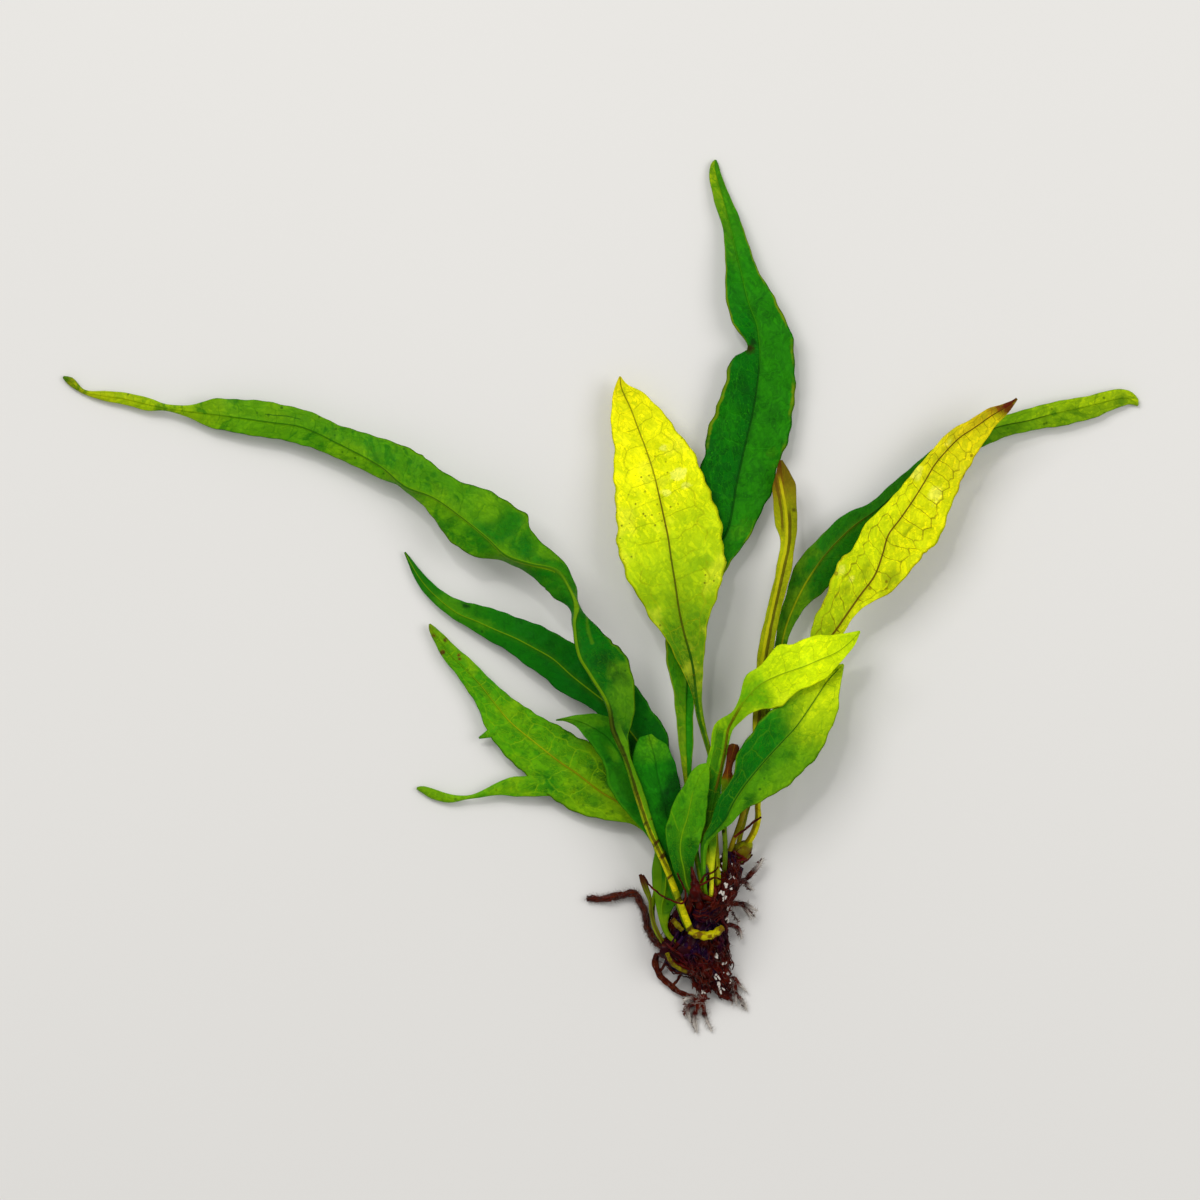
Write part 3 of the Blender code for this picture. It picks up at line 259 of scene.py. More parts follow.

# %% [markdown]
# ## Where each frond runs
# The photograph is read once for where each frond's rib runs and how far its
# two margins stand off. A station is the rib's place x, y, z, the distance to the left
# and the right margin when facing the tip, and how far each margin rises over the rib.
# At its end it leaves out what the right side shares with the left one, and rises of
# nothing. The stations are those of the part's source, so that each fine blade lies on
# its plain solid. Only the first one of each frond is new: the solids keep a small gap
# to each other, and it takes the fine stalk down into the stem that it grows from.

# %% Stations of the left-hand fronds
LEFT_FRONDS = {
    "frond_long_left": [
        (18.2, -67.2, 9.3, 0.7), (17.4, -65.2, 9.4, 0.7), (13.4, -54.8, 10.0, 0.65),
        (9.8, -47.0, 10.6, 0.6, 1.2), (7.4, -40.0, 11.2, 0.55, 1.5), (5.2, -33.0, 11.8, 0.5, 1.1),
        (3.6, -29.2, 12.2, 0.5, 2.2, -0.4), (2.6, -26.8, 12.5, 0.5, 3.8, -0.8),
        (1.6, -21.6, 13.0, 0.5, 5.8, -1.4, -1.6), (-1.8, -15.8, 13.4, 0.5, 8.0, -2.2, -2.4),
        (-4.0, -12.0, 13.6, 0.5, 7.0, -2.4, -2.8), (-5.0, -5.8, 13.6, 0.5, 4.0, -2.5, -2.8),
        (-4.7, -2.6, 13.4, 1.3, 0.7, -2.5), (-6.0, 1.0, 13.0, 3.6, 1.3, -2.4, -2.2),
        (-8.6, 4.8, 12.5, 4.2, 2.3, -2.4, -1.8), (-14.2, 6.3, 11.6, 2.0, 5.6, -2.6, -1.5),
        (-18.8, 8.0, 10.8, 1.5, 8.6, -2.8, -1.6), (-22.6, 11.4, 10.2, 4.6, 8.6, -1.8, -1.2),
        (-27.8, 15.6, 9.4, 4.9, 7.1, -1.2, -1.0), (-33.2, 19.4, 8.6, 2.7, 5.4, -1.4, -1.0),
        (-39.0, 21.8, 7.8, 0.9, 7.2, -1.8, -0.8), (-44.0, 25.8, 7.0, 2.2, 5.6, -1.0, -0.8),
        (-52.6, 30.4, 6.0, 2.8, 3.6, -0.6), (-59.6, 33.6, 5.2, 3.4, 3.4, -0.4),
        (-66.0, 34.6, 4.6, 3.2, 4.0, -0.3), (-77.2, 36.2, 3.6, 2.8, 3.2, -0.2),
        (-82.0, 36.8, 3.2, 1.4, 1.4, -0.2, 0.2), (-87.0, 37.6, 2.8, 0.6, 0.6, -0.3, 0.3),
        (-90.4, 38.2, 2.4, 1.3), (-95.4, 39.4, 1.9, 1.2), (-99.6, 40.0, 1.5, 1.0),
        (-103.6, 40.8, 1.0, 0.45), (-106.4, 43.0, 0.7, 0.8), (-107.8, 43.8, 0.5, 0.25),
    ],
    "frond_mid_left": [
        (15.4, -70.0, 6.0, 0.6), (13.1, -67.0, 6.6, 0.6), (12.3, -62.8, 5.8, 1.0, 2.2),
        (12.9, -60.0, 5.6, 2.2, 3.2), (13.2, -57.0, 5.6, 2.8, 3.8), (13.0, -53.0, 5.8, 2.4, 3.4),
        (12.8, -49.0, 6.0, 1.6, 3.0), (12.0, -41.0, 6.2, 3.0, 3.5), (10.4, -35.0, 6.4, 4.0, 4.3),
        (8.0, -30.0, 6.4, 4.8, 5.9), (5.0, -26.0, 6.2, 4.4, 6.2), (1.4, -21.8, 6.0, 2.7, 6.7, 0.0, 0.2),
        (-1.8, -19.2, 5.8, 3.1, 6.8, 0.0, 0.3), (-5.6, -16.2, 5.5, 3.9, 5.4, -0.2, 0.3),
        (-9.4, -12.8, 5.1, 4.1, 4.8, -0.4, 0.3), (-13.2, -10.6, 4.7, 3.7, 4.6, -0.5, 0.3),
        (-17.0, -8.6, 4.3, 3.1, 4.1, -0.5, 0.2), (-20.8, -7.0, 3.9, 2.6, 3.8, -0.5, 0.2),
        (-24.8, -5.2, 3.4, 2.0, 3.4, -0.4, 0.2), (-28.6, -3.6, 2.8, 1.4, 2.6, -0.3, 0.2),
        (-33.2, 0.0, 2.0, 1.3, 1.6), (-36.2, 3.4, 1.4, 0.9, 1.2), (-39.2, 8.6, 0.9, 0.2),
    ],
    "frond_lobed_left": [
        (13.8, -70.8, 4.8, 0.5), (12.0, -68.6, 4.6, 0.5), (10.7, -65.6, 4.0, 0.45),
        (10.6, -62.2, 3.6, 0.45), (11.8, -55.0, 3.4, 0.5), (10.6, -48.8, 3.6, 0.6),
        (7.8, -45.2, 3.8, 1.4, 1.5), (4.6, -42.2, 4.0, 3.8, 3.0),
        (-0.2, -39.2, 4.0, 5.9, 4.6, -0.4, 0.0), (-4.6, -35.8, 3.9, 7.0, 6.6, -0.6, 0.0),
        (-8.4, -33.2, 3.7, 6.6, 6.2, -0.6, 0.2), (-13.2, -29.4, 3.5, 6.1, 5.2, -0.5, 0.2),
        (-18.0, -25.4, 3.2, 5.1, 4.2, -0.4, 0.2), (-21.8, -20.8, 3.0, 3.3, 2.9, -0.3, 0.2),
        (-23.8, -18.2, 2.8, 2.9, 2.2, -0.2, 0.1), (-26.8, -15.0, 2.5, 2.2, 2.2, -0.2, 0.1),
        (-30.0, -12.0, 2.1, 1.6, 1.9), (-32.0, -9.2, 1.8, 1.2, 1.4), (-33.8, -6.8, 1.5, 0.6, 0.8),
        (-34.2, -5.8, 1.4, 0.2),
    ],
    "side lobe": [
        (-5.0, -39.0, 3.5, 1.0), (-11.0, -38.0, 3.3, 2.4, 1.6), (-17.0, -38.2, 2.9, 2.2, 1.8),
        (-20.8, -39.0, 2.5, 1.2), (-24.2, -40.0, 2.1, 0.7, 0.5), (-26.6, -40.6, 1.8, 0.4),
        (-30.4, -40.8, 1.4, 0.9), (-33.6, -40.0, 1.1, 0.9, 1.1), (-35.6, -39.0, 0.8, 0.7),
        (-36.8, -38.8, 0.6, 0.25),
    ],
    "margin spur": [
        (-19.5, -26.6, 3.0, 1.6), (-22.4, -27.9, 2.7, 0.8), (-24.3, -28.7, 2.4, 0.2),
    ],
    "frond_inner_left": [
        (18.2, -68.0, 6.2, 0.5), (16.6, -64.6, 7.4, 0.5), (14.8, -59.6, 7.8, 0.5),
        (12.6, -53.4, 8.2, 0.5), (10.4, -48.6, 8.4, 0.6), (8.6, -44.0, 8.4, 2.2, 0.8, 0.5, 0.0),
        (6.4, -38.0, 8.3, 4.4, 1.6, 1.0, -0.2), (4.4, -32.6, 8.2, 4.0, 2.2, 1.2, -0.2),
        (1.6, -28.6, 8.2, 3.4, 3.8, 1.2, 0.4), (-1.6, -26.4, 8.2, 2.6, 3.0, 0.9, 0.5),
        (-4.4, -25.2, 8.2, 1.2, 1.4, 0.4, 0.2), (-6.8, -24.8, 8.1, 0.5, 0.4), (-8.8, -25.0, 7.9, 0.15),
    ],
    "frond_short_back": [
        (20.2, -63.4, 6.6, 0.55), (18.4, -60.4, 8.8, 0.55), (17.0, -56.0, 9.2, 1.0),
        (14.8, -49.4, 9.6, 2.4, 2.2), (13.4, -45.0, 9.8, 3.8, 2.8), (12.4, -40.0, 9.9, 5.0, 4.0),
        (11.6, -36.6, 9.9, 5.0, 4.0), (11.0, -33.0, 9.8, 4.6, 3.6), (10.4, -30.4, 9.7, 3.9, 2.9),
        (10.0, -29.0, 9.6, 3.0, 1.4), (9.7, -27.9, 9.5, 1.8, 0.6),
    ],
}
print("left-hand fronds and lobes:", list(LEFT_FRONDS))

# %% Stations of the middle fronds
MIDDLE_FRONDS = {
    "frond_young_front": [
        (20.8, -63.6, 7.4, 0.6), (19.0, -60.6, 10.6, 0.6), (17.4, -58.0, 10.9, 0.9),
        (16.8, -55.0, 11.2, 2.0, 1.8, 0.2), (16.0, -51.0, 11.5, 2.4, 3.6, 0.3),
        (16.4, -47.6, 11.7, 3.4, 3.8, 0.3), (17.4, -44.4, 11.8, 3.6, 3.8, 0.2),
        (18.0, -41.6, 11.9, 3.2, 3.4, 0.2), (18.6, -39.0, 12.0, 2.2, 3.0, 0.1),
        (19.8, -36.0, 12.0, 1.8, 2.4), (21.0, -34.4, 12.0, 1.3, 1.0), (21.4, -33.7, 12.0, 0.4),
    ],
    "frond_yellow_centre": [
        (23.4, -59.4, 6.6, 0.6), (23.6, -57.2, 9.0, 0.6), (23.2, -51.0, 8.2, 0.6),
        (22.6, -41.0, 8.4, 0.6), (22.2, -33.0, 8.8, 0.55), (21.4, -30.0, 9.2, 0.5, 0.6),
        (19.8, -24.2, 9.8, 0.6, 0.9), (19.2, -19.8, 10.0, 0.8, 1.2), (18.4, -13.6, 10.0, 2.6, 2.4, 0.2),
        (16.8, -7.6, 9.9, 4.0, 4.8, 0.4), (15.8, -3.0, 9.6, 6.2, 7.1, 0.5),
        (15.0, 2.4, 9.2, 8.4, 9.8, 0.5), (14.2, 7.4, 8.6, 10.0, 10.8, 0.4),
        (13.6, 11.6, 8.0, 10.2, 10.8, 0.3), (12.8, 15.4, 7.5, 9.8, 10.8, 0.2),
        (11.8, 20.0, 7.0, 8.8, 9.7), (10.8, 24.2, 6.5, 8.4, 9.3, -0.2),
        (9.2, 29.2, 6.0, 6.8, 7.6, -0.3), (7.6, 33.4, 5.5, 5.4, 6.2, -0.3),
        (6.2, 37.2, 5.0, 4.4, 4.6, -0.2), (5.0, 39.8, 4.7, 2.9, 3.2), (4.2, 41.8, 4.4, 1.3, 1.4),
        (4.0, 43.8, 4.2, 0.2),
    ],
    "frond_tall": [
        (22.0, -61.4, 6.6, 0.55), (20.6, -58.6, 8.6, 0.55), (18.8, -49.0, 8.0, 0.55),
        (17.6, -39.0, 8.0, 0.55), (17.4, -35.0, 8.0, 1.0, 0.9, 0.2), (17.2, -29.0, 7.8, 1.6, 1.5, 0.8),
        (17.2, -21.0, 7.4, 2.4, 1.7, 1.0, 0.8), (18.0, -11.0, 6.8, 5.0, 3.0, 0.8, 0.5),
        (19.4, -3.0, 6.2, 5.0, 2.6, 0.6, 0.3), (21.2, 3.0, 5.6, 5.4, 2.8, 0.4, 0.2),
        (22.8, 8.0, 5.1, 6.0, 3.7, 0.3, 0.0), (25.6, 13.0, 4.7, 6.6, 4.4, 0.2, -0.1),
        (27.2, 21.4, 4.3, 7.8, 7.1, 0.1, -0.2), (28.0, 25.2, 4.2, 7.6, 7.3, 0.0, -0.3),
        (29.2, 30.6, 4.2, 7.9, 7.8, 0.0, -0.3), (30.4, 35.6, 4.3, 7.5, 8.2, 0.0, -0.3),
        (31.2, 40.2, 4.5, 6.6, 7.8, 0.0, -0.3), (31.8, 45.0, 4.7, 6.2, 7.4, 0.0, -0.3),
        (32.0, 47.8, 4.8, 4.8, 7.0, 0.0, -0.3), (32.0, 49.2, 4.8, 2.6, 6.8, 0.0, -0.3),
        (31.8, 51.4, 4.8, 2.9, 6.6, 0.0, -0.3), (31.4, 54.2, 4.8, 4.2, 5.8, 0.0, -0.2),
        (29.8, 58.4, 4.5, 4.4, 5.2, 0.0, -0.2), (28.4, 64.2, 4.0, 3.4, 3.5),
        (27.2, 69.2, 3.4, 2.2, 2.8), (26.0, 74.6, 2.6, 1.6, 2.3), (24.8, 79.2, 1.9, 1.9, 1.5),
        (23.4, 84.2, 1.2, 1.5, 1.0), (23.0, 86.4, 0.8, 0.8), (23.2, 87.4, 0.6, 0.2),
    ],
}
print("middle fronds:", list(MIDDLE_FRONDS))

# %% Stations of the right-hand fronds
RIGHT_FRONDS = {
    "frond_far_right": [
        (27.4, -51.8, 5.0, 0.5), (28.0, -48.6, 5.2, 0.5), (28.9, -45.0, 5.4, 0.5),
        (30.4, -39.0, 5.7, 0.5), (32.0, -31.0, 6.0, 0.55), (34.0, -21.0, 6.2, 0.6),
        (36.4, -9.8, 6.2, 1.4, 1.0), (37.4, -5.8, 6.0, 1.8, 1.4), (39.4, -1.0, 5.7, 2.4),
        (41.8, 3.4, 5.4, 3.6, 4.2), (45.6, 8.6, 5.0, 3.3, 4.4), (50.6, 13.6, 4.6, 3.0, 4.4),
        (55.4, 17.0, 4.3, 2.0, 4.0), (60.0, 21.0, 4.0, 2.0, 3.6), (66.0, 25.8, 3.7, 2.2, 3.0),
        (72.0, 30.0, 3.4, 2.4, 2.6), (79.6, 33.6, 3.0, 1.9, 2.4), (86.0, 35.0, 2.7, 2.3, 2.1),
        (91.8, 36.6, 2.4, 2.3, 2.8), (98.0, 38.0, 2.0, 1.9, 2.7), (102.8, 39.2, 1.6, 2.0),
        (105.8, 39.6, 1.2, 1.5), (107.6, 38.6, 0.8, 0.8, 0.6), (108.0, 38.0, 0.6, 0.2),
    ],
    "frond_yellow_right": [
        (29.0, -50.6, 5.2, 0.7), (30.8, -47.4, 6.8, 0.7), (31.6, -44.6, 7.2, 0.65),
        (31.6, -41.6, 7.5, 0.6), (33.4, -35.0, 7.9, 0.6), (37.6, -20.0, 8.6, 0.7),
        (42.4, -13.0, 9.1, 1.6, 1.0), (46.8, -7.4, 9.4, 5.0, 1.6),
        (49.6, -3.4, 9.4, 5.4, 1.5, 0.1, 0.0), (52.0, 0.0, 9.3, 7.0, 2.6, 0.2, 0.0),
        (54.8, 3.8, 9.2, 7.4, 5.0, 0.3, 0.1), (56.4, 8.0, 9.1, 6.0, 6.9, 0.3, 0.2),
        (57.6, 12.0, 9.0, 5.0, 8.2, 0.3), (59.8, 15.0, 8.9, 4.3, 8.7, 0.3),
        (62.2, 18.4, 8.8, 3.6, 8.0, 0.2, 0.3), (64.6, 22.2, 8.8, 3.2, 7.0, 0.2, 0.3),
        (67.0, 26.2, 8.8, 2.3, 6.2, 0.1, 0.2), (69.4, 29.0, 8.9, 2.4, 5.8, 0.0, 0.1),
        (71.8, 31.4, 9.0, 2.2, 4.8), (74.8, 33.4, 9.2, 1.9, 3.6), (78.2, 35.8, 9.5, 1.6, 2.0),
        (80.6, 37.2, 9.8, 1.0, 1.3), (82.4, 38.4, 10.2, 0.5), (83.2, 39.2, 10.6, 0.25),
    ],
    "frond_pale_right": [
        (22.4, -62.2, 7.4, 0.5), (22.2, -59.6, 10.2, 0.5), (22.3, -55.4, 10.0, 0.5),
        (21.9, -50.8, 9.8, 1.8, 1.3), (21.8, -46.6, 9.8, 1.6), (22.4, -42.0, 9.8, 1.6),
        (23.8, -36.0, 9.8, 2.9, 0.6), (25.0, -30.6, 10.0, 3.0, 0.6), (25.6, -26.8, 10.3, 3.0, 0.9),
        (27.0, -24.0, 10.8, 1.0, 1.8), (28.6, -21.4, 11.4, 1.1, 3.0),
        (31.2, -18.4, 12.0, 3.2, 5.6, 0.0, -0.3), (33.8, -16.8, 12.4, 3.3, 5.8, -0.2, -0.4),
        (37.2, -15.4, 12.7, 5.6, 4.6, -0.4, -0.3), (40.2, -14.4, 12.9, 5.1, 4.2, -0.4, -0.3),
        (44.0, -12.8, 13.0, 4.9, 3.8, -0.3, -0.2), (47.2, -11.4, 13.0, 4.0, 2.0),
        (50.0, -9.2, 12.9, 2.2, 1.1), (51.8, -7.2, 12.7, 0.2),
    ],
    "frond_broad_right": [
        (21.4, -61.6, 7.6, 0.5), (20.8, -58.0, 11.6, 0.5), (20.6, -54.0, 11.4, 0.5),
        (20.9, -49.6, 11.4, 0.8), (23.0, -47.0, 11.8, 1.6, 0.7), (25.0, -44.6, 12.2, 2.8, 1.6),
        (26.6, -41.4, 12.4, 3.0, 2.7), (28.8, -38.0, 12.5, 3.0, 4.9),
        (31.2, -35.0, 12.5, 5.0, 6.2, 0.2, -0.2), (33.8, -32.0, 12.3, 5.7, 7.0, 0.2, -0.4),
        (36.4, -29.2, 12.0, 6.0, 7.2, 0.0, -0.4), (39.0, -26.4, 11.6, 5.8, 6.8, 0.0, -0.4),
        (41.6, -22.8, 11.0, 4.8, 5.8, 0.0, -0.2), (43.6, -19.8, 10.7, 3.8, 4.8),
        (45.4, -17.2, 10.5, 2.6, 3.2), (47.4, -15.0, 10.4, 1.2, 1.4), (48.6, -13.8, 10.4, 0.2),
    ],
}
print("right-hand fronds:", list(RIGHT_FRONDS))

# %% Stations of the withered and stunted fronds
OLD_FRONDS = {
    "frond_withered_narrow": [
        (25.4, -53.4, 6.2, 0.5), (26.4, -49.8, 7.8, 0.5), (28.0, -45.6, 7.9, 0.55),
        (29.2, -41.0, 8.0, 0.6), (30.8, -33.0, 8.3, 0.6), (31.8, -24.6, 8.7, 1.3, 1.3, 0.3),
        (32.0, -19.0, 8.8, 1.0, 0.8, 0.3), (33.4, -11.0, 8.8, 1.9, 1.2, 0.6),
        (34.4, -5.4, 8.7, 1.6, 1.2, 0.8), (35.6, 0.0, 8.4, 1.6, 1.4, 0.9),
        (36.8, 5.4, 8.0, 1.6, 1.5, 0.9), (37.8, 10.0, 7.6, 1.8, 1.2, 0.9),
        (38.0, 14.6, 7.2, 3.1, 1.6, 0.8), (37.6, 18.4, 6.9, 3.0, 1.6, 0.8),
        (37.0, 21.6, 6.7, 2.6, 2.2, 0.6, 0.8), (36.4, 24.6, 6.5, 1.2, 1.5, 0.4), (36.2, 27.0, 6.4, 0.3),
    ],
    "frond_old_stub": [
        (24.6, -56.4, 6.8, 0.5), (24.9, -54.0, 9.8, 0.5), (25.0, -50.0, 10.2, 0.5),
        (24.8, -45.4, 10.5, 0.6), (25.4, -42.2, 10.8, 1.1, 1.0), (25.8, -39.0, 10.9, 1.6, 1.4),
        (25.4, -36.6, 11.0, 1.2, 1.4), (25.4, -35.2, 11.1, 0.6, 0.9),
        (25.9, -33.2, 11.2, 0.7, 0.8, 0.2), (26.4, -31.8, 11.2, 1.1, 1.1, 0.2),
        (26.8, -30.2, 11.2, 1.2, 1.1, 0.1), (26.9, -29.7, 11.2, 0.6),
    ],
    "frondlet_left": [
        (13.0, -70.2, 5.6, 0.4), (11.3, -67.0, 7.0, 0.4), (10.3, -64.0, 6.6, 0.4),
        (10.1, -61.2, 6.2, 0.5, 0.4), (9.4, -59.2, 5.8, 0.6, 0.5, 0.2),
        (8.6, -57.2, 5.6, 0.5, 0.5, 0.3), (8.0, -55.9, 5.8, 0.3),
    ],
}


def station(x, y, z, left, right=None, rise_left=0.0, rise_right=None):
    """A station with the numbers that it leaves out."""
    right = left if right is None else right
    rise_right = rise_left if rise_right is None else rise_right
    return x, y, z, left, right, rise_left, rise_right


STATIONS = {}
for node, rows in {**LEFT_FRONDS, **MIDDLE_FRONDS, **RIGHT_FRONDS, **OLD_FRONDS}.items():
    STATIONS[node] = [station(*row) for row in rows]
print("stations in all:", sum(len(rows) for rows in STATIONS.values()))

# %% [markdown]
# ## How a frond is swept
# A frond starts as a round stalk and flattens into a blade about a third of a
# millimetre thick, with a rib along its middle. It could be sculpted, or drawn flat
# and bent, but a sweep is simpler: at each station a cross-section stands square to
# the route, round where the frond is narrow and thin where it is wide. Real blades
# are never flat either. Their margins ripple, and the tissue swells a little between
# the side veins, so both are added as small moves along the surface's own normal.

# %% The blade's cross-section
FINE_STEP = 0.85
COLUMNS = 33
STALK_WIDTH = 1.5
BLADE_WIDTH = 3.2
STALK_HALF = 0.62
LEAF_HALF = 0.17
MARGIN_HALF = 0.05
RIB_RISE = 0.3
RIB_SPREAD = 0.42

spread = np.linspace(-1.0, 1.0, COLUMNS)
SHARES = np.sign(spread) * np.abs(spread) ** 1.2


def half_thickness(side, width, along, blade, rib_rise):
    """Half the frond's thickness: round in the stalk, thin with a rib in the blade."""
    fade = 1.0 - 0.65 * along
    rib = rib_rise * fade * np.exp(-((side / (RIB_SPREAD * fade)) ** 2))
    leaf = (LEAF_HALF - MARGIN_HALF) * (1.0 - SHARES**2) + MARGIN_HALF + rib
    stalk = np.minimum(STALK_HALF, 0.5 * width) * np.sqrt(1.0 - SHARES**2)
    return stalk + (leaf - stalk) * blade


print("a section has", 2 * COLUMNS - 2, "points")

# %% The ripples of the margins and the swellings between the veins
FULL_TURN = 2.0 * math.pi


def waves(arc, lengths, phase, rng):
    """A sum of sines along the frond, with slightly random lengths and phases."""
    total = 0.0
    for length, height in lengths:
        turn = FULL_TURN / (length * rng.uniform(0.85, 1.2))
        total = total + height * np.sin(arc * turn + rng.uniform(0.0, 6.28) + phase)
    return total


def ripples(arc, side, width, blade, ripple, swell, seed):
    """How far the surface is moved along its normal, in millimetres."""
    rng = random.Random(seed)
    margin = np.abs(SHARES) ** 2.4
    left = waves(arc, [(15.0, 0.7), (6.5, 0.5), (3.1, 0.16)], 0.0, rng)
    right = waves(arc, [(14.0, 0.7), (6.0, 0.5), (3.3, 0.16)], 1.0, rng)
    wave = np.where(SHARES >= 0.0, left, right) * margin * ripple
    chevron = (arc + 0.4 * np.abs(side)) * (math.pi / (2.9 * rng.uniform(0.9, 1.1)))
    puff = np.abs(np.sin(chevron + np.where(SHARES >= 0.0, 0.9, 0.0))) - 0.6
    between = np.clip(np.abs(side) / 1.4, 0.0, 1.0) * (1.0 - margin)
    size = np.clip(width / 12.0, 0.0, 1.0)
    return (wave + puff * between * swell) * size * blade


print("ripples are measured along the surface's normal")

# %% Rings of points round a frond


def evened(directions, reach):
    """Unit directions averaged with their neighbours, so that sections fan out evenly."""
    weights = np.exp(-((np.arange(-reach, reach + 1) / (0.55 * reach)) ** 2))
    padded = np.pad(directions, ((reach, reach), (0, 0)), mode="edge")
    total = sum(weight * padded[row : row + len(directions)] for row, weight in enumerate(weights))
    return total / np.linalg.norm(total, axis=1)[:, None]


def blade_rings(stations, ripple, swell, seed, rib_rise=RIB_RISE):
    """Rings of points round a frond, and how far along and across each point lies."""
    rows = smooth_rows(stations, FINE_STEP)
    places = rows[:, :3]
    ahead = evened(headings(places), 5)
    across = np.stack([-ahead[:, 1], ahead[:, 0], np.zeros(len(rows))], axis=1)
    across /= np.linalg.norm(across, axis=1)[:, None]
    arc = lengths_along(places)[:, None]
    along = arc / arc[-1]

    rng = random.Random(seed + 50)
    uneven_left = 1.0 + 0.022 * waves(arc, [(9.0, 1.0), (3.7, 0.8)], 0.0, rng)
    uneven_right = 1.0 + 0.022 * waves(arc, [(8.0, 1.0), (3.4, 0.8)], 1.0, rng)
    left_side = SHARES >= 0.0
    reach = np.where(left_side, rows[:, 3:4] * uneven_left, rows[:, 4:5] * uneven_right)
    rise = np.where(left_side, rows[:, 5:6], rows[:, 6:7])
    side = reach * SHARES
    up = rise * np.abs(SHARES) ** 1.4

    slope_side = np.gradient(side, SHARES, axis=1)
    slope_up = np.gradient(up, SHARES, axis=1)
    steep = np.hypot(slope_side, slope_up) + 1e-9
    lean_side = -slope_up / steep
    lean_up = slope_side / steep

    width = rows[:, 3:4] + rows[:, 4:5]
    blade = smoothstep(STALK_WIDTH, BLADE_WIDTH, width)
    half = half_thickness(side, width, along, blade, rib_rise)
    lift = ripples(arc, side, width, blade, ripple, swell, seed)
    skins = []
    for face in (1.0, -1.0):
        out_side = (side + lean_side * (lift + face * half))[..., None]
        out_up = (up + lean_up * (lift + face * half))[..., None]
        skins.append(places[:, None, :] + across[:, None, :] * out_side + UP * out_up)
    top, bottom = skins
    points = np.concatenate([top, bottom[:, -2:0:-1]], axis=1)
    order = np.concatenate([np.arange(COLUMNS), np.arange(COLUMNS - 2, 0, -1)])
    count = len(order)
    arcs = np.repeat(arc, count, axis=1)
    alongs = np.repeat(along, count, axis=1)
    shares = np.repeat(SHARES[order][None, :], len(rows), axis=0)
    return points, arcs, side[:, order], alongs, shares


longest = lengths_along(smooth_rows(STATIONS["frond_long_left"], FINE_STEP)[:, :3])[-1]
print("the longest rib measures", longest.round(1), "mm")

# %% A closed mesh from rings, with maps in millimetres


def ring_mesh(name, points):
    """A closed mesh from rings of points in millimetres, capped at both ends."""
    rows, count = points.shape[:2]
    index = np.arange(rows * count).reshape(rows, count)
    here = index[:-1]
    there = index[1:]
    quads = np.stack([here, np.roll(here, -1, axis=1), np.roll(there, -1, axis=1), there], axis=-1)
    faces = quads.reshape(-1, 4).tolist()
    faces.append(index[0][::-1].tolist())
    faces.append(index[-1].tolist())
    mesh = bpy.data.meshes.new(name)
    mesh.from_pydata(((points - CENTRE) * MM).reshape(-1, 3).tolist(), [], faces)
    mesh.update()
    bm = bmesh.new()
    bm.from_mesh(mesh)
    bmesh.ops.recalc_face_normals(bm, faces=bm.faces)
    bm.to_mesh(mesh)
    bm.free()
    return mesh


def add_map(mesh, name, first, second):
    """Keep two numbers of each point in a UV map."""
    loops = np.zeros(len(mesh.loops), np.int64)
    mesh.loops.foreach_get("vertex_index", loops)
    pair = np.stack([first.ravel()[loops], second.ravel()[loops]], axis=1)
    layer = mesh.uv_layers.new(name=name)
    layer.data.foreach_set("uv", pair.astype(np.float32).ravel())


def blade_mesh(name, stations, ripple, swell, seed):
    """The fine mesh of one frond, with its two maps."""
    points, arcs, sides, alongs, shares = blade_rings(stations, ripple, swell, seed)
    mesh = ring_mesh(name, points)
    add_map(mesh, "blade_mm", arcs, sides)
    add_map(mesh, "blade_share", alongs, shares * 0.5 + 0.5)
    return mesh


def lobe_mesh(name, stations, ripple, swell, seed, ahead, start):
    """A side lobe: no rib of its own, and maps that carry on from the main blade's."""
    points, arcs, sides, alongs, shares = blade_rings(stations, ripple, swell, seed, 0.04)
    mesh = ring_mesh(name, points)
    add_map(mesh, "blade_mm", arcs + ahead, sides + 4.0)
    add_map(mesh, "blade_share", start + alongs * (0.97 - start), shares * 0.5 + 0.5)
    return mesh


def finished(name, node, meshes, finish):
    """One piece from meshes, in its finish, on the plant in place of its solid."""
    bm = bmesh.new()
    for mesh in meshes:
        bm.from_mesh(mesh)
    whole = bpy.data.meshes.new(name)
    bm.to_mesh(whole)
    bm.free()
    for mesh in meshes:
        bpy.data.meshes.remove(mesh)
    whole.materials.append(finish)
    whole.shade_smooth()
    on_plant(new_object(name, whole), node)


print("each blade keeps the maps blade_mm and blade_share")

# %% [markdown]
# ## Marks that belong to one place
# A brown tip, painted shade along a crease or a painted shadow sits at one place of one
# frond. The helper below takes a place as seen from above, in millimetres, and tells how
# far along and across the blade it lies, which is what the finish works with.

# %% From a place on the table to a place on the blade


def on_blade(node, x, y):
    """How far along the rib and how far to its left the place x, y lies."""
    places = smooth_rows(STATIONS[node], FINE_STEP)[:, :3]
    ahead = headings(places)[:, :2]
    away = np.array([x, y]) - places[:, :2]
    arc = lengths_along(places)
    nearest = int(np.argmin(np.linalg.norm(away, axis=1)))
    heading = ahead[nearest] / np.linalg.norm(ahead[nearest])
    side = heading[0] * away[nearest][1] - heading[1] * away[nearest][0]
    return float(arc[nearest] + heading @ away[nearest]), float(side)


print("the notch of the tall frond lies at", on_blade("frond_tall", 29.8, 49.0))

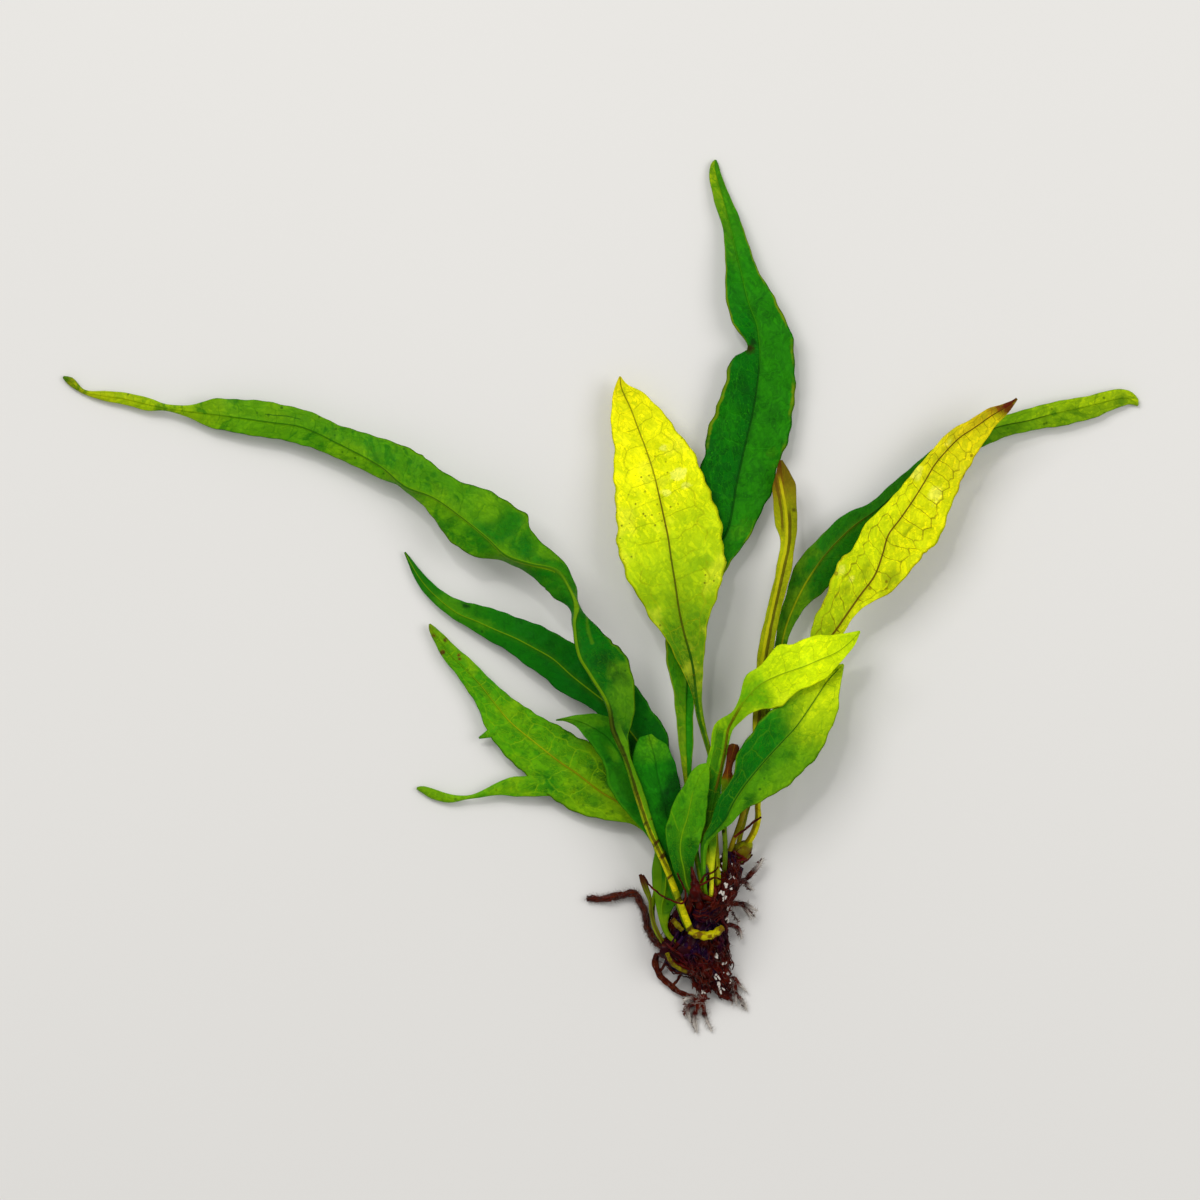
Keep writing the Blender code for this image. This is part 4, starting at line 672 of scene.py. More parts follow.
# %% [markdown]
# ## The colour of a frond
# The blade's own map says how many millimetres a point lies from the base and from
# the rib, so veins keep their size on every frond. Three things make the pattern: the
# rib, side veins that leave it at an angle and meet in arches near the margin, and a
# net of cells between them, which a Voronoi texture gives as the distance to the
# nearest cell wall. Each cell is also made lighter or darker at random, partly a tone of
# its own, as on a real leaf, and partly painted highlight and shade of the tissue that
# swells between the veins. A ramp along the frond gives the change from the base to
# the tip, and marks that sit at one place only, such as a brown tip, the rings of a
# stalk, painted shade and highlight along a fold, or the painted shadow of a frond
# above, are laid on by their place.


# %% A finish for fronds: the blade's own measures
CLOUDS = (80.0, 4.0, 0.6)
FINE = (480.0, 3.0, 0.65)
GRAIN = (1300.0, 2.0, 0.6)
RAGGED = (210.0, 5.0, 0.7)
SHEEN = 0.07


class Frond(Finish):
    """A wet leaf's material, built up in layers of colour."""

    def __init__(self, node, name, stops):
        super().__init__(name, Specular_IOR_Level=SHEEN)
        self.node = node
        ruler = self.add("ShaderNodeUVMap", {"uv_map": "blade_mm"}, {})
        shares = self.add("ShaderNodeUVMap", {"uv_map": "blade_share"}, {})
        self.place = self.add("ShaderNodeTexCoord", {}, {}, output="Object")
        self.arc, self.side = self.axes(ruler, 2)
        self.along, self.across = self.axes(shares, 2)
        self.off_rib = abs(self.side)
        self.off_middle = abs(self.across - 0.5) * 2.0
        self.right_half = self.across.below(0.49, 0.02)
        self.cloud = self.noise(self.place, *CLOUDS)
        self.fine = self.noise(self.place, *FINE)
        self.grain = self.noise(self.place, *GRAIN)
        self.ragged = self.noise(self.place, *RAGGED)
        self.warp = self.noise(ruler, 0.3, 3.0)
        wander = (self.cloud - 0.5) * 0.16
        self.colour = self.add("ShaderNodeValToRGB", {"stops": stops}, {0: self.along + wander})
        self.height = self.fine * 0.5

    def over(self, colour, mask):
        """Lay a colour over what is there."""
        self.colour = self.blend(self.colour, colour, mask)

    def streaks(self, colour, strength, edge=0.5, soft=0.14):
        """Feathered patches that lean the way the side veins do."""
        run = (self.arc - self.off_rib * 0.5) / 3.4 + self.cloud * 2.2
        spot = {0: run, 1: self.side / 5.0 + self.warp * 1.6, 2: self.warp}
        field = self.noise(self.add("ShaderNodeCombineXYZ", {}, spot), 1.0, 5.0, 0.62)
        self.over(colour, field.above(edge, soft) * strength)

    def patches(self, colour, strength, edge=0.5, soft=0.16):
        """Soft round patches."""
        self.over(colour, self.cloud.above(edge, soft) * strength)

    def half(self, colour, strength):
        """The half to the right of the rib in another colour."""
        self.over(colour, self.right_half * strength)

    def stalk_band(self, colour, strength, first, last, start, end):
        """A band from first to last millimetres left of the rib, between two shares of the length."""
        keep = self.along.below(end, 0.03) * self.along.above(start - 0.03, 0.03)
        off = abs(self.side - (first + last) / 2.0 + (self.fine - 0.5) * 0.3)
        self.over(colour, off.below((last - first) / 2.0, 0.15) * keep * strength)


print("noises in each metre:", CLOUDS[0], RAGGED[0], FINE[0], GRAIN[0])

# %% The net of fine veins
FIELD_SHADE_AND_TONE = (0.35, 0.5, 0.35, 1.0)
FIELD_HIGHLIGHT_AND_TONE = (1.9, 1.5, 1.0, 1.0)


def vein_net(look, colour, strength, cell, tone=0.16):
    """The net of fine veins in two sizes, and a lighter or darker tone for some of its fields: partly
    their own, partly painted highlight and shade.
    """
    for size, share in ((cell, 1.0), (cell / 2.3, 0.6)):
        run = (look.arc - look.off_rib * 0.35) / size + look.warp * 1.6
        rise = look.side / (size * 0.72) + look.warp * 1.1
        spot = look.add("ShaderNodeCombineXYZ", {}, {0: run, 1: rise})
        flat = {"voronoi_dimensions": "2D"}
        cells = {"Vector": spot, "Randomness": 0.9}
        fields = look.add("ShaderNodeTexVoronoi", flat, cells, output="Color")
        pick = look.add("ShaderNodeSeparateXYZ", {}, {0: fields})
        walls = look.add("ShaderNodeTexVoronoi", {"feature": "DISTANCE_TO_EDGE", **flat}, cells)
        inside = walls.above(0.0, 0.16) * share**2 * tone
        # Painted highlight and shade, partly own tone: random fields between the veins made darker or
        # lighter.
        darker = pick.above(0.55, 0.1) * inside
        look.colour = look.blend(look.colour, FIELD_SHADE_AND_TONE, darker, "MULTIPLY")
        lighter = pick.below(0.2, 0.15) * inside
        look.colour = look.blend(look.colour, FIELD_HIGHLIGHT_AND_TONE, lighter, "MULTIPLY")
        line = walls.below(0.002, 0.055 / share) * look.ragged.above(0.34, 0.24)
        look.over(colour, line * strength * share**2)
        look.height = look.height - line * 0.35 * share


print("each field between the veins is darker or lighter by", FIELD_SHADE_AND_TONE[:3], FIELD_HIGHLIGHT_AND_TONE[:3])

# %% Side veins, ribs and margins
SIDE_VEIN_STEP = 5.2


def side_veins(look, colour, strength, step=SIDE_VEIN_STEP, lean=(0.35, 0.35), crowd=0.2):
    """Side veins with their lean on the left and right, and the arches that join them."""
    left, right = lean
    slope = look.right_half * (right - left) + left
    run = look.arc * (1.0 + look.along**2.0 * crowd) - look.off_rib * slope + look.warp * 3.0
    beat = (run / step).to_and_fro(0.5)
    bend = 0.6 + (look.warp - 0.5) * 0.25
    inner = (look.off_middle - bend).below(0.0, 0.03)
    vein = beat.below(0.002, 0.036) * inner
    arch = abs(look.off_middle - bend - beat * 0.24).below(0.002, 0.036)
    mask = (vein + arch * (1.0 - vein) * 0.8) * (0.3 + look.ragged.above(0.36, 0.2) * 0.7)
    look.over(colour, mask * strength)
    look.height = look.height - mask * 0.4


def rib(look, colour, strength, width=0.12, halo=0.12, start=0.0, until=1.0):
    """The rib between two shares of the frond's length, and the faint glow beside it."""
    keep = look.along.below(until, 0.05) * look.along.above(start - 0.05, 0.05)
    look.over(colour, look.off_rib.below(0.3, 0.9) * halo * keep)
    line = (look.off_rib / (1.25 - look.along * 0.8)).below(width, 0.12)
    look.over(colour, line * strength * keep)
    look.height = look.height + line * 0.4


def margin(look, colour, strength, edge=0.9):
    """A thin broken line of colour along the margins."""
    line = (look.off_middle + (look.fine - 0.5) * 0.16).above(edge, 0.06)
    look.over(colour, line * look.cloud.above(0.42, 0.12) * strength)


print("side veins stand", SIDE_VEIN_STEP, "mm apart")

# %% Spots, painted fold lines, rings and specks
MOST_UNEVEN = 1.4


def spots(look, colour, strength, *places, crisp=0.0):
    """Marks at places seen from above: x, y, reach and, where it isn't round, stretch."""
    for x, y, reach, *stretch in places:
        along, across = on_blade(look.node, x, y)
        away = ((look.arc - along) / (stretch or [1.0])[0]) ** 2.0 + (look.side - across) ** 2.0
        uneven = min(reach, MOST_UNEVEN)
        rough = away**0.5 + (look.ragged - 0.5) * uneven * 4.5 + (look.fine - 0.5) * uneven
        soft = reach * (1.1 - 0.8 * crisp)
        look.over(colour, rough.below(reach - soft * 0.6, soft) * strength)


def painted_fold_line(look, route, colour, strength=0.8, width=0.15):
    """A painted line over the blade through a few places seen from above: a dark colour paints the shade
    in a fold, a light one the highlight on it.
    """
    places = [on_blade(look.node, x, y) for x, y in route]
    nearest = None
    for start, end in zip(places, places[1:]):
        run = end[0] - start[0]
        rise = end[1] - start[1]
        along = look.arc - start[0]
        up = look.side - start[1] + (look.fine - 0.5) * 0.5
        share = (along * run + up * rise) / (run * run + rise * rise)
        share = look.add("ShaderNodeClamp", {}, {0: share})
        away = ((along - share * run) ** 2.0 + (up - share * rise) ** 2.0) ** 0.5
        nearest = away.at_most(away if nearest is None else nearest)
    uneven = nearest + (look.ragged - 0.5) * width * 3.0
    look.over(colour, uneven.below(width * 0.3, width * 1.3) * strength)


def rings(look, places, colour, strength=0.9):
    """Dark rings round the stalk."""
    for arc, width in places:
        edge = abs(look.arc - arc + look.side * 0.3) + (look.fine - 0.5) * 0.9
        look.over(colour, edge.below(width, 0.25) * look.ragged.above(0.36, 0.14) * strength)


def specks(look, colour, strength, scale=520.0, size=0.11):
    """Small dark specks, more of them where the clouds are."""
    field = look.add("ShaderNodeTexVoronoi", {"feature": "F1"}, {"Vector": look.place, "Scale": scale})
    look.over(colour, field.below(size, 0.07) * look.cloud.above(0.5, 0.06) * strength)


print("marks lie where they are seen from above")

# %% From a finish to a piece
MOTTLED = (0.5, 0.62, 0.5, 1.0)
MOTTLE = 0.3
BUMP_DEPTH = 0.00025


def dressed(look, gloss=0.45, bump=0.6):
    """The look's material, mottled a little all over and fed to the shader."""
    dark = (look.fine.above(0.46, 0.16) * 0.7 + look.grain.above(0.45, 0.2) * 0.3) * MOTTLE
    look.colour = look.blend(look.colour, MOTTLED, dark, "MULTIPLY")
    look.surface(
        Base_Color=look.colour,
        Roughness=gloss + look.fine * 0.18,
        Normal=look.bump(look.height, bump, BUMP_DEPTH),
    )
    return look.material


def grow(look, name, seed, ripple=0.35, swell=0.14, lobes=(), gloss=0.45):
    """One frond with its side lobes, finished and put in place of its solid."""
    meshes = [blade_mesh(name, STATIONS[look.node], ripple, swell, seed)]
    for number, (lobe, ahead, start) in enumerate(lobes):
        lobe_seed = seed + number + 7
        meshes.append(lobe_mesh(name, STATIONS[lobe], ripple * 0.6, swell, lobe_seed, ahead, start))
    finished(name, look.node, meshes, dressed(look, gloss))


print("bumps are", BUMP_DEPTH, "metres deep")

# %% [markdown]
# ## The long frond that reaches far to the left
# Its stalk lies over everything, yellow with dark rings where old scales sat. The
# blade starts dark, twists over once, and goes on in a lighter green with feathered
# darker patches. The finish walks through the same stages, from base to tip.


# %% Long left frond
look = Frond("frond_long_left", "frond_light_long", [
    (0.0, 214, 206, 6), (0.14, 188, 188, 2), (0.175, 92, 96, 0), (0.215, 40, 72, 0), (0.235, 0, 88, 0),
    (0.37, 0, 104, 0), (0.41, 44, 118, 0), (0.47, 78, 142, 0), (0.66, 68, 138, 0), (0.8, 92, 152, 0),
    (0.88, 146, 180, 0), (0.97, 170, 184, 0), (0.99, 120, 130, 0),
])
look.streaks((8, 102, 0), 0.65, 0.52, 0.1)
look.patches((118, 168, 0), 0.45, 0.52, 0.12)
spots(look, (0, 104, 0), 0.85,
    (-18.4, 14.0, 4.2, 0.8), (-15.4, 10.2, 3.6, 0.7), (-23.4, 11.6, 2.6, 1.3), (-11.6, 5.4, 2.4, 1.2),
)
spots(look, (10, 96, 0), 0.6, (-29.0, 19.6, 0.5), (-36.0, 25.6, 0.5), (-33.4, 24.0, 0.5))
spots(look, (106, 160, 0), 0.5, (-22.4, 17.6, 2.8, 1.2), (-29.6, 17.0, 2.6, 1.2), (-9.8, 8.4, 2.0, 1.2))
spots(look, (0, 64, 0), 0.7, (1.1, -13.3, 2.4, 1.2), (3.7, -16.2, 1.9, 1.2), (3.2, -26.0, 1.6, 1.2))
spots(look, (84, 142, 0), 0.7, (5.4, -22.0, 3.4, 1.2))
vein_net(look, (80, 146, 0), 0.4, 4.6, 0.24)
side_veins(look, (26, 108, 0), 0.4)
rib(look, (112, 150, 0), 0.75, 0.05, 0.05, 0.22, 0.44)
rib(look, (120, 162, 0), 0.6, 0.2, 0.1, 0.44, 0.62)
rib(look, (30, 96, 0), 0.85, 0.05, 0.0, 0.43, 0.8)
# Painted fold light: the two lighter lines paint the highlight on folds near the twist, the dark one
# further out paints the shade in a fold.
painted_fold_line(look, [(-2.6, -4.6), (-2.4, -7.2), (-1.6, -9.6)], (96, 142, 0), 0.4, 0.3)
painted_fold_line(look, [(-9.0, 4.6), (-13.0, 5.8), (-17.0, 6.9)], (126, 166, 0), 0.7, 0.12)
painted_fold_line(look, [(-60.0, 35.2), (-63.0, 35.8), (-67.0, 36.2)], (24, 84, 0), 0.8, 0.12)
margin(look, (112, 158, 0), 0.4)
specks(look, (6, 70, 0), 0.6)
look.stalk_band((40, 34, 0), 0.75, -0.35, 0.1, 0.08, 0.24)
look.stalk_band((84, 142, 0), 0.9, -1.6, -0.62, 0.1, 0.215)
rings(look, ((0.7, 0.3), (6.8, 0.3), (11.8, 0.2), (16.0, 0.3), (19.0, 0.3), (23.6, 0.15)), (62, 26, 2))
grow(look, "leaf_long_left", 3)

# %% [markdown]
# ## The dark fronds on the left
# Three fronds lie in the shade of the long one. They are a deep green that would look
# black in a flat colour, so their ribs, margins and turned edges are kept lighter. Where
# the long frond lies over or just beside two of them, its shadow is painted on as darker green.

# %% Middle left frond
look = Frond("frond_mid_left", "frond_dark_mid", [
    (0.0, 150, 160, 4), (0.08, 70, 124, 0), (0.14, 24, 102, 0), (0.3, 0, 84, 0), (0.6, 0, 94, 0),
    (0.78, 20, 110, 0), (0.86, 54, 126, 0), (0.94, 14, 106, 0), (1.0, 10, 98, 0),
])
look.streaks((0, 74, 0), 0.5, 0.54)
look.patches((34, 122, 0), 0.3, 0.56, 0.1)
spots(look, (72, 138, 0), 0.6,
    (-23.4, -5.6, 1.4, 2.2), (-29.4, -2.4, 1.6, 2.2), (-27.0, -7.0, 1.0, 2.2),
)
spots(look, (2, 40, 0), 0.95, (-26.8, -2.2, 0.7, 1.6))
# Painted shadow: darker green where the long frond lies over this blade.
spots(look, (0, 60, 0), 0.7, (-0.6, -12.6, 2.0, 1.6))
spots(look, (110, 142, 0), 0.4, (11.6, -60.6, 1.8, 2.4))
vein_net(look, (36, 132, 0), 0.4, 3.8, 0.14)
rib(look, (112, 152, 0), 0.85, 0.08, 0.06, 0.1)
margin(look, (44, 124, 0), 0.5)
specks(look, (0, 52, 0), 0.6)
look.stalk_band((96, 140, 0), 0.7, 0.9, 2.6, 0.0, 0.2)
grow(look, "leaf_mid_left", 11)

# %% Inner left frond
look = Frond("frond_inner_left", "frond_dark_inner", [
    (0.0, 110, 130, 4), (0.3, 60, 112, 0), (0.45, 8, 96, 0), (0.7, 10, 96, 0), (0.84, 36, 118, 0),
    (0.92, 64, 128, 0), (1.0, 90, 130, 0),
])
look.streaks((0, 72, 0), 0.5, 0.52)
look.patches((50, 126, 0), 0.4, 0.52, 0.1)
# Painted shadow: darker green along and under the right edge of the long frond's stalk, which lies just
# above.
spots(look, (0, 56, 0), 0.85, (8.0, -36.0, 1.6, 3.0))
spots(look, (0, 60, 0), 0.7, (5.6, -30.4, 1.4, 1.6))
spots(look, (60, 124, 0), 0.8, (2.4, -24.6, 2.2, 1.4), crisp=0.3)
spots(look, (76, 136, 0), 0.7, (-3.0, -24.4, 1.6, 1.8))
spots(look, (24, 118, 0), 0.6, (6.0, -45.4, 1.8, 1.6))
vein_net(look, (40, 130, 0), 0.36, 3.4, 0.2)
rib(look, (0, 70, 0), 0.5, 0.14, 0.06, 0.4)
spots(look, (76, 142, 0), 0.7, (2.0, -31.0, 0.8, 2.6))
spots(look, (40, 128, 0), 0.6, (2.6, -36.6, 0.7, 4.0))
margin(look, (60, 134, 0), 0.6, 0.84)
grow(look, "leaf_inner_left", 17)

# %% Short frond at the back
look = Frond("frond_short_back", "frond_dark_short", [
    (0.0, 60, 100, 0), (0.2, 20, 92, 0), (0.45, 0, 84, 0), (0.75, 0, 74, 0), (0.86, 4, 92, 0),
    (1.0, 44, 126, 0),
])
look.streaks((0, 56, 0), 0.7, 0.5)
look.patches((24, 124, 0), 0.7, 0.48, 0.1)
spots(look, (0, 42, 0), 0.7, (12.6, -42.6, 1.6, 1.4))
spots(look, (62, 136, 0), 0.75, (10.8, -30.4, 4.4, 0.7))
spots(look, (96, 154, 0), 0.6, (10.4, -28.6, 1.2))
spots(look, (30, 122, 0), 0.5, (9.0, -45.0, 1.6, 2.0))
vein_net(look, (24, 122, 0), 0.7, 3.2, 0.3)
rib(look, (0, 64, 0), 0.4, 0.14, 0.06, 0.4)
margin(look, (26, 118, 0), 0.35)
grow(look, "leaf_short_back", 23)

# %% [markdown]
# ## The lobed frond
# Older java ferns often split: this frond carries a long side lobe and a small spur.
# Both are blades of their own, swept into the main one. Painted shade darkens the creases
# that run down from the rib where the lobe leaves it, the inner frond's edge lies on the
# blade as a painted shadow, and the tip is speckled brown.

# %% Lobed left frond
look = Frond("frond_lobed_left", "frond_light_lobed", [
    (0.0, 170, 160, 8), (0.2, 120, 140, 0), (0.34, 102, 146, 0), (0.5, 84, 150, 0), (0.7, 78, 154, 0),
    (0.85, 62, 144, 0), (0.96, 84, 140, 0), (1.0, 120, 120, 0),
])
look.half((60, 140, 0), 0.3)
look.streaks((22, 118, 0), 0.42, 0.54, 0.1)
look.patches((122, 170, 0), 0.6, 0.46, 0.12)
# Painted shade: darker green in the creases where the lobe leaves the rib, and one small darker patch
# higher on the blade.
spots(look, (8, 106, 0), 0.6,
    (-7.6, -39.4, 1.3, 2.6), (-3.0, -40.0, 1.2, 2.6), (-11.0, -37.0, 0.9, 2.6), (-9.6, -27.0, 0.9, 0.6),
)
spots(look, (10, 112, 0), 0.6,
    (-12.6, -31.6, 0.5, 1.8), (-8.6, -32.6, 0.5, 1.8), (-13.4, -25.6, 0.6, 1.8),
    (-7.0, -28.6, 0.6, 1.8),
)
# Painted shadow: darker green where the inner left frond's edge lies over this blade.
spots(look, (0, 84, 0), 0.85, (1.6, -36.4, 1.7, 2.6))
spots(look, (96, 152, 0), 0.5, (-3.6, -29.0, 1.5, 1.4), crisp=0.7)
spots(look, (84, 34, 4), 0.95,
    (-33.4, -8.2, 0.45), (-31.0, -9.0, 0.45), (-28.4, -12.0, 0.45), (-28.8, -16.4, 0.45),
    (-31.6, -11.4, 0.45), (-28.2, -12.8, 0.45),
)
vein_net(look, (128, 180, 0), 0.8, 5.2, 0.3)
side_veins(look, (130, 180, 0), 0.8, 6.2, (0.6, 0.3))
rib(look, (156, 172, 4), 0.9, 0.1, 0.12, 0.3, 0.8)
rib(look, (122, 120, 0), 0.7, 0.14, 0.0, 0.28, 0.56)
rib(look, (96, 150, 0), 0.6, 0.08, 0.0, 0.76)
margin(look, (112, 162, 0), 0.4)
specks(look, (40, 90, 0), 0.5)
rings(look, ((3.0, 0.4), (9.0, 0.3)), (62, 26, 2), 0.7)
lobes = [("side lobe", 40.0, 0.42), ("margin spur", 62.0, 0.7)]
grow(look, "leaf_lobed_left", 29, swell=0.2, lobes=lobes)

# %% [markdown]
# ## The fronds of the middle
# A young frond stands in front, the broad yellow one is dying back from its tip, and
# the tall one behind it is old and dark, with a yellowing margin and a bitten notch.

# %% Young frond in front
look = Frond("frond_young_front", "frond_light_young", [
    (0.0, 40, 84, 0), (0.2, 6, 76, 0), (0.36, 4, 88, 0), (0.5, 34, 116, 0), (0.7, 60, 136, 0),
    (0.86, 84, 152, 0), (1.0, 96, 160, 0),
])
look.streaks((24, 112, 0), 0.45, 0.52)
look.patches((102, 162, 0), 0.3, 0.54, 0.12)
spots(look, (0, 78, 0), 0.85, (18.2, -49.8, 1.1, 1.2))
spots(look, (6, 96, 0), 0.5, (14.6, -50.6, 1.2, 1.8))
spots(look, (30, 112, 0), 0.6, (16.2, -41.0, 0.7, 1.2))
vein_net(look, (112, 166, 0), 0.45, 4.0, 0.26)
rib(look, (112, 160, 0), 0.8, 0.1, 0.14, 0.2, 0.78)
# Painted highlight: a lighter line along a fold of the blade.
painted_fold_line(look, [(15.6, -47.0), (15.0, -45.0), (14.2, -43.2)], (104, 158, 0), 0.6, 0.12)
margin(look, (96, 158, 0), 0.4)
specks(look, (10, 60, 0), 0.7, 260.0, 0.11)
grow(look, "leaf_young_front", 31)

# %% Broad yellow frond
look = Frond("frond_yellow_centre", "frond_yellow_broad", [
    (0.0, 150, 150, 4), (0.24, 116, 140, 0), (0.34, 52, 106, 0), (0.44, 52, 110, 0), (0.52, 84, 138, 0),
    (0.6, 168, 202, 0), (0.7, 208, 230, 0), (0.8, 252, 255, 0), (0.93, 255, 250, 0), (1.0, 238, 220, 0),
])
look.half((160, 196, 0), 0.14)
look.streaks((150, 192, 0), 0.28, 0.52)
look.patches((252, 250, 60), 0.3, 0.54, 0.12)
spots(look, (130, 176, 0), 0.6, (20.0, 6.2, 2.4, 0.6), crisp=0.5)
spots(look, (120, 168, 0), 0.5, (19.4, -2.0, 1.6))
# Painted highlights: near-white patches on the upper right half of the blade.
spots(look, (255, 255, 110), 0.5,
    (12.4, 29.4, 1.2, 0.7), (15.6, 24.0, 1.4, 0.7), (17.4, 22.0, 1.1, 0.7), (13.2, 20.4, 1.0, 0.7),
    crisp=0.7,
)
spots(look, (0, 76, 0), 0.85, (18.4, -22.6, 1.1, 5.0))
vein_net(look, (166, 186, 0), 0.5, 5.0, 0.2)
side_veins(look, (150, 160, 0), 0.55, 5.4, (-0.1, 0.35))
rib(look, (70, 70, 0), 0.85, 0.17, 0.14, 0.42, 0.75)
rib(look, (110, 100, 0), 0.8, 0.14, 0.1, 0.7)
rib(look, (16, 84, 0), 0.8, 0.2, 0.0, 0.3, 0.46)
margin(look, (222, 222, 6), 0.3)
specks(look, (90, 84, 0), 0.7, 620.0, 0.1)
grow(look, "leaf_yellow_centre", 37, ripple=0.26, swell=0.1)

# %% Tall dark frond
look = Frond("frond_tall", "frond_dark_tall", [
    (0.0, 110, 130, 4), (0.14, 140, 150, 0), (0.22, 104, 142, 0), (0.32, 84, 136, 0), (0.4, 0, 92, 0),
    (0.62, 0, 92, 0), (0.8, 0, 102, 0), (0.87, 28, 112, 0), (0.93, 100, 148, 0), (1.0, 140, 168, 0),
])
# Painted shade: a darker band right of the rib, where the broad yellow frond's stalk lies over this one.
look.stalk_band((0, 80, 0), 0.9, -2.6, -0.1, 0.12, 0.36)
look.half((36, 126, 0), 0.8)
look.streaks((0, 74, 0), 0.5, 0.52)
look.patches((24, 124, 0), 0.5, 0.5, 0.12)
spots(look, (0, 66, 0), 0.5,
    (24.6, 35.4, 1.8, 1.2), (28.0, 42.6, 2.0, 1.2), (35.0, 35.6, 1.6, 1.2), (33.6, 31.0, 1.8, 1.2),
)
spots(look, (60, 132, 0), 0.55,
    (34.4, 28.8, 1.1), (36.0, 25.4, 1.2), (29.8, 14.6, 1.6), (27.6, 12.6, 1.2),
    crisp=0.5,
)
vein_net(look, (36, 140, 0), 0.95, 6.2, 0.34)
side_veins(look, (36, 138, 0), 0.4, 6.4, (0.4, 0.4))
rib(look, (0, 52, 0), 0.6, 0.2, 0.2, 0.3, 0.7)
rib(look, (60, 136, 0), 0.7, 0.08, 0.1, 0.76)
margin(look, (124, 144, 0), 0.7, 0.88)
spots(look, (44, 34, 0), 0.9, (29.9, 49.4, 1.0))
spots(look, (4, 46, 0), 0.8, (30.6, 50.8, 0.9))
spots(look, (90, 126, 0), 0.6, (37.6, 22.0, 1.4, 1.6))
specks(look, (40, 140, 0), 0.4, 260.0, 0.1)
grow(look, "leaf_tall", 41)

# %% [markdown]
# ## The fronds on the right
# One long green frond lies at the back. Over it lies a yellow one whose veins have
# gone brown, then a pale one and a broad green one with a bright end.

# %% Far right frond
look = Frond("frond_far_right", "frond_mid_far", [
    (0.0, 150, 130, 8), (0.2, 130, 136, 0), (0.32, 56, 116, 0), (0.44, 24, 104, 0), (0.62, 34, 110, 0),
    (0.76, 54, 122, 0), (0.82, 112, 162, 0), (0.9, 156, 190, 0), (1.0, 160, 188, 0),
])
look.streaks((0, 86, 0), 0.45, 0.52)
look.half((10, 104, 0), 0.3)
look.patches((156, 190, 0), 0.22, 0.54, 0.14)
spots(look, (54, 120, 0), 0.7, (81.6, 37.6, 1.3, 2.0))
spots(look, (34, 104, 0), 0.7, (91.0, 36.6, 0.8))
vein_net(look, (70, 138, 0), 0.5, 4.2, 0.26)
side_veins(look, (10, 88, 0), 0.3, 6.0, (0.8, 0.8))
rib(look, (150, 160, 0), 0.85, 0.12, 0.06, 0.2, 0.52)
rib(look, (20, 60, 0), 0.8, 0.09, 0.0, 0.46, 0.84)
margin(look, (96, 140, 0), 0.4)
spots(look, (70, 116, 0), 0.7, (104.6, 39.2, 1.0))
specks(look, (40, 80, 0), 0.6)
grow(look, "leaf_far_right", 43)

# %% Yellow frond with brown veins
look = Frond("frond_yellow_right", "frond_yellow_veined", [
    (0.0, 150, 130, 6), (0.24, 160, 150, 0), (0.36, 136, 168, 0), (0.46, 176, 202, 0),
    (0.6, 214, 232, 0), (0.74, 232, 238, 0), (0.86, 222, 208, 10), (0.95, 206, 176, 8),
    (0.972, 120, 30, 4), (1.0, 60, 6, 4),
])
look.half((236, 238, 0), 0.45)
look.streaks((168, 184, 0), 0.3, 0.52)
look.patches((244, 244, 60), 0.25, 0.56, 0.12)
spots(look, (128, 150, 0), 0.6,
    (58.0, 3.4, 1.6, 1.3), (53.0, 4.6, 1.0, 2.4), (49.0, 0.8, 0.9, 1.2), (61.4, 12.6, 0.5, 4.0),
)
spots(look, (250, 248, 90), 0.6,
    (48.6, 5.4, 0.8, 1.6), (63.0, 24.0, 0.9, 1.6), (70.0, 30.6, 0.7, 1.6), (67.6, 20.0, 1.4, 1.6),
    (50.4, 3.4, 0.6, 1.6),
    crisp=0.5,
)
vein_net(look, (112, 88, 0), 0.3, 4.4, 0.22)
side_veins(look, (112, 88, 0), 0.85, 5.0, (1.0, -0.05), 0.5)
rib(look, (100, 74, 0), 0.95, 0.15, 0.16, 0.32)
margin(look, (214, 190, 10), 0.4)
specks(look, (120, 100, 0), 0.7, 420.0, 0.14)
spots(look, (96, 14, 4), 0.9, (81.4, 37.6, 1.6, 1.3))
grow(look, "leaf_yellow_right", 47)

# %% Pale frond in front of it
look = Frond("frond_pale_right", "frond_pale_bright", [
    (0.0, 214, 214, 40), (0.12, 206, 210, 20), (0.19, 70, 124, 0), (0.34, 20, 108, 0),
    (0.42, 84, 152, 0), (0.55, 112, 166, 0), (0.64, 132, 184, 0), (0.72, 200, 234, 0),
    (0.86, 230, 255, 0), (1.0, 176, 212, 0),
])
look.streaks((176, 214, 0), 0.3, 0.52)
look.patches((234, 250, 30), 0.35, 0.52, 0.14)
spots(look, (92, 166, 0), 0.7,
    (30.6, -19.0, 2.2, 1.3), (33.0, -20.6, 1.5, 1.3), (28.6, -21.0, 1.2, 1.3),
)
spots(look, (110, 172, 0), 0.8, (23.6, -32.4, 1.4, 1.4), crisp=0.7)
look.stalk_band((0, 96, 0), 0.7, 0.8, 2.2, 0.3, 0.5)
look.stalk_band((96, 70, 0), 0.8, -0.2, 0.2, 0.36, 0.58)
vein_net(look, (150, 190, 0), 0.35, 3.4, 0.18)
side_veins(look, (140, 170, 0), 0.4, 4.4, (0.3, 0.3))
rib(look, (120, 156, 0), 0.7, 0.1, 0.1, 0.6)
margin(look, (214, 236, 10), 0.35)
specks(look, (120, 130, 0), 0.6)
grow(look, "leaf_pale_right", 53, ripple=0.26, swell=0.16)

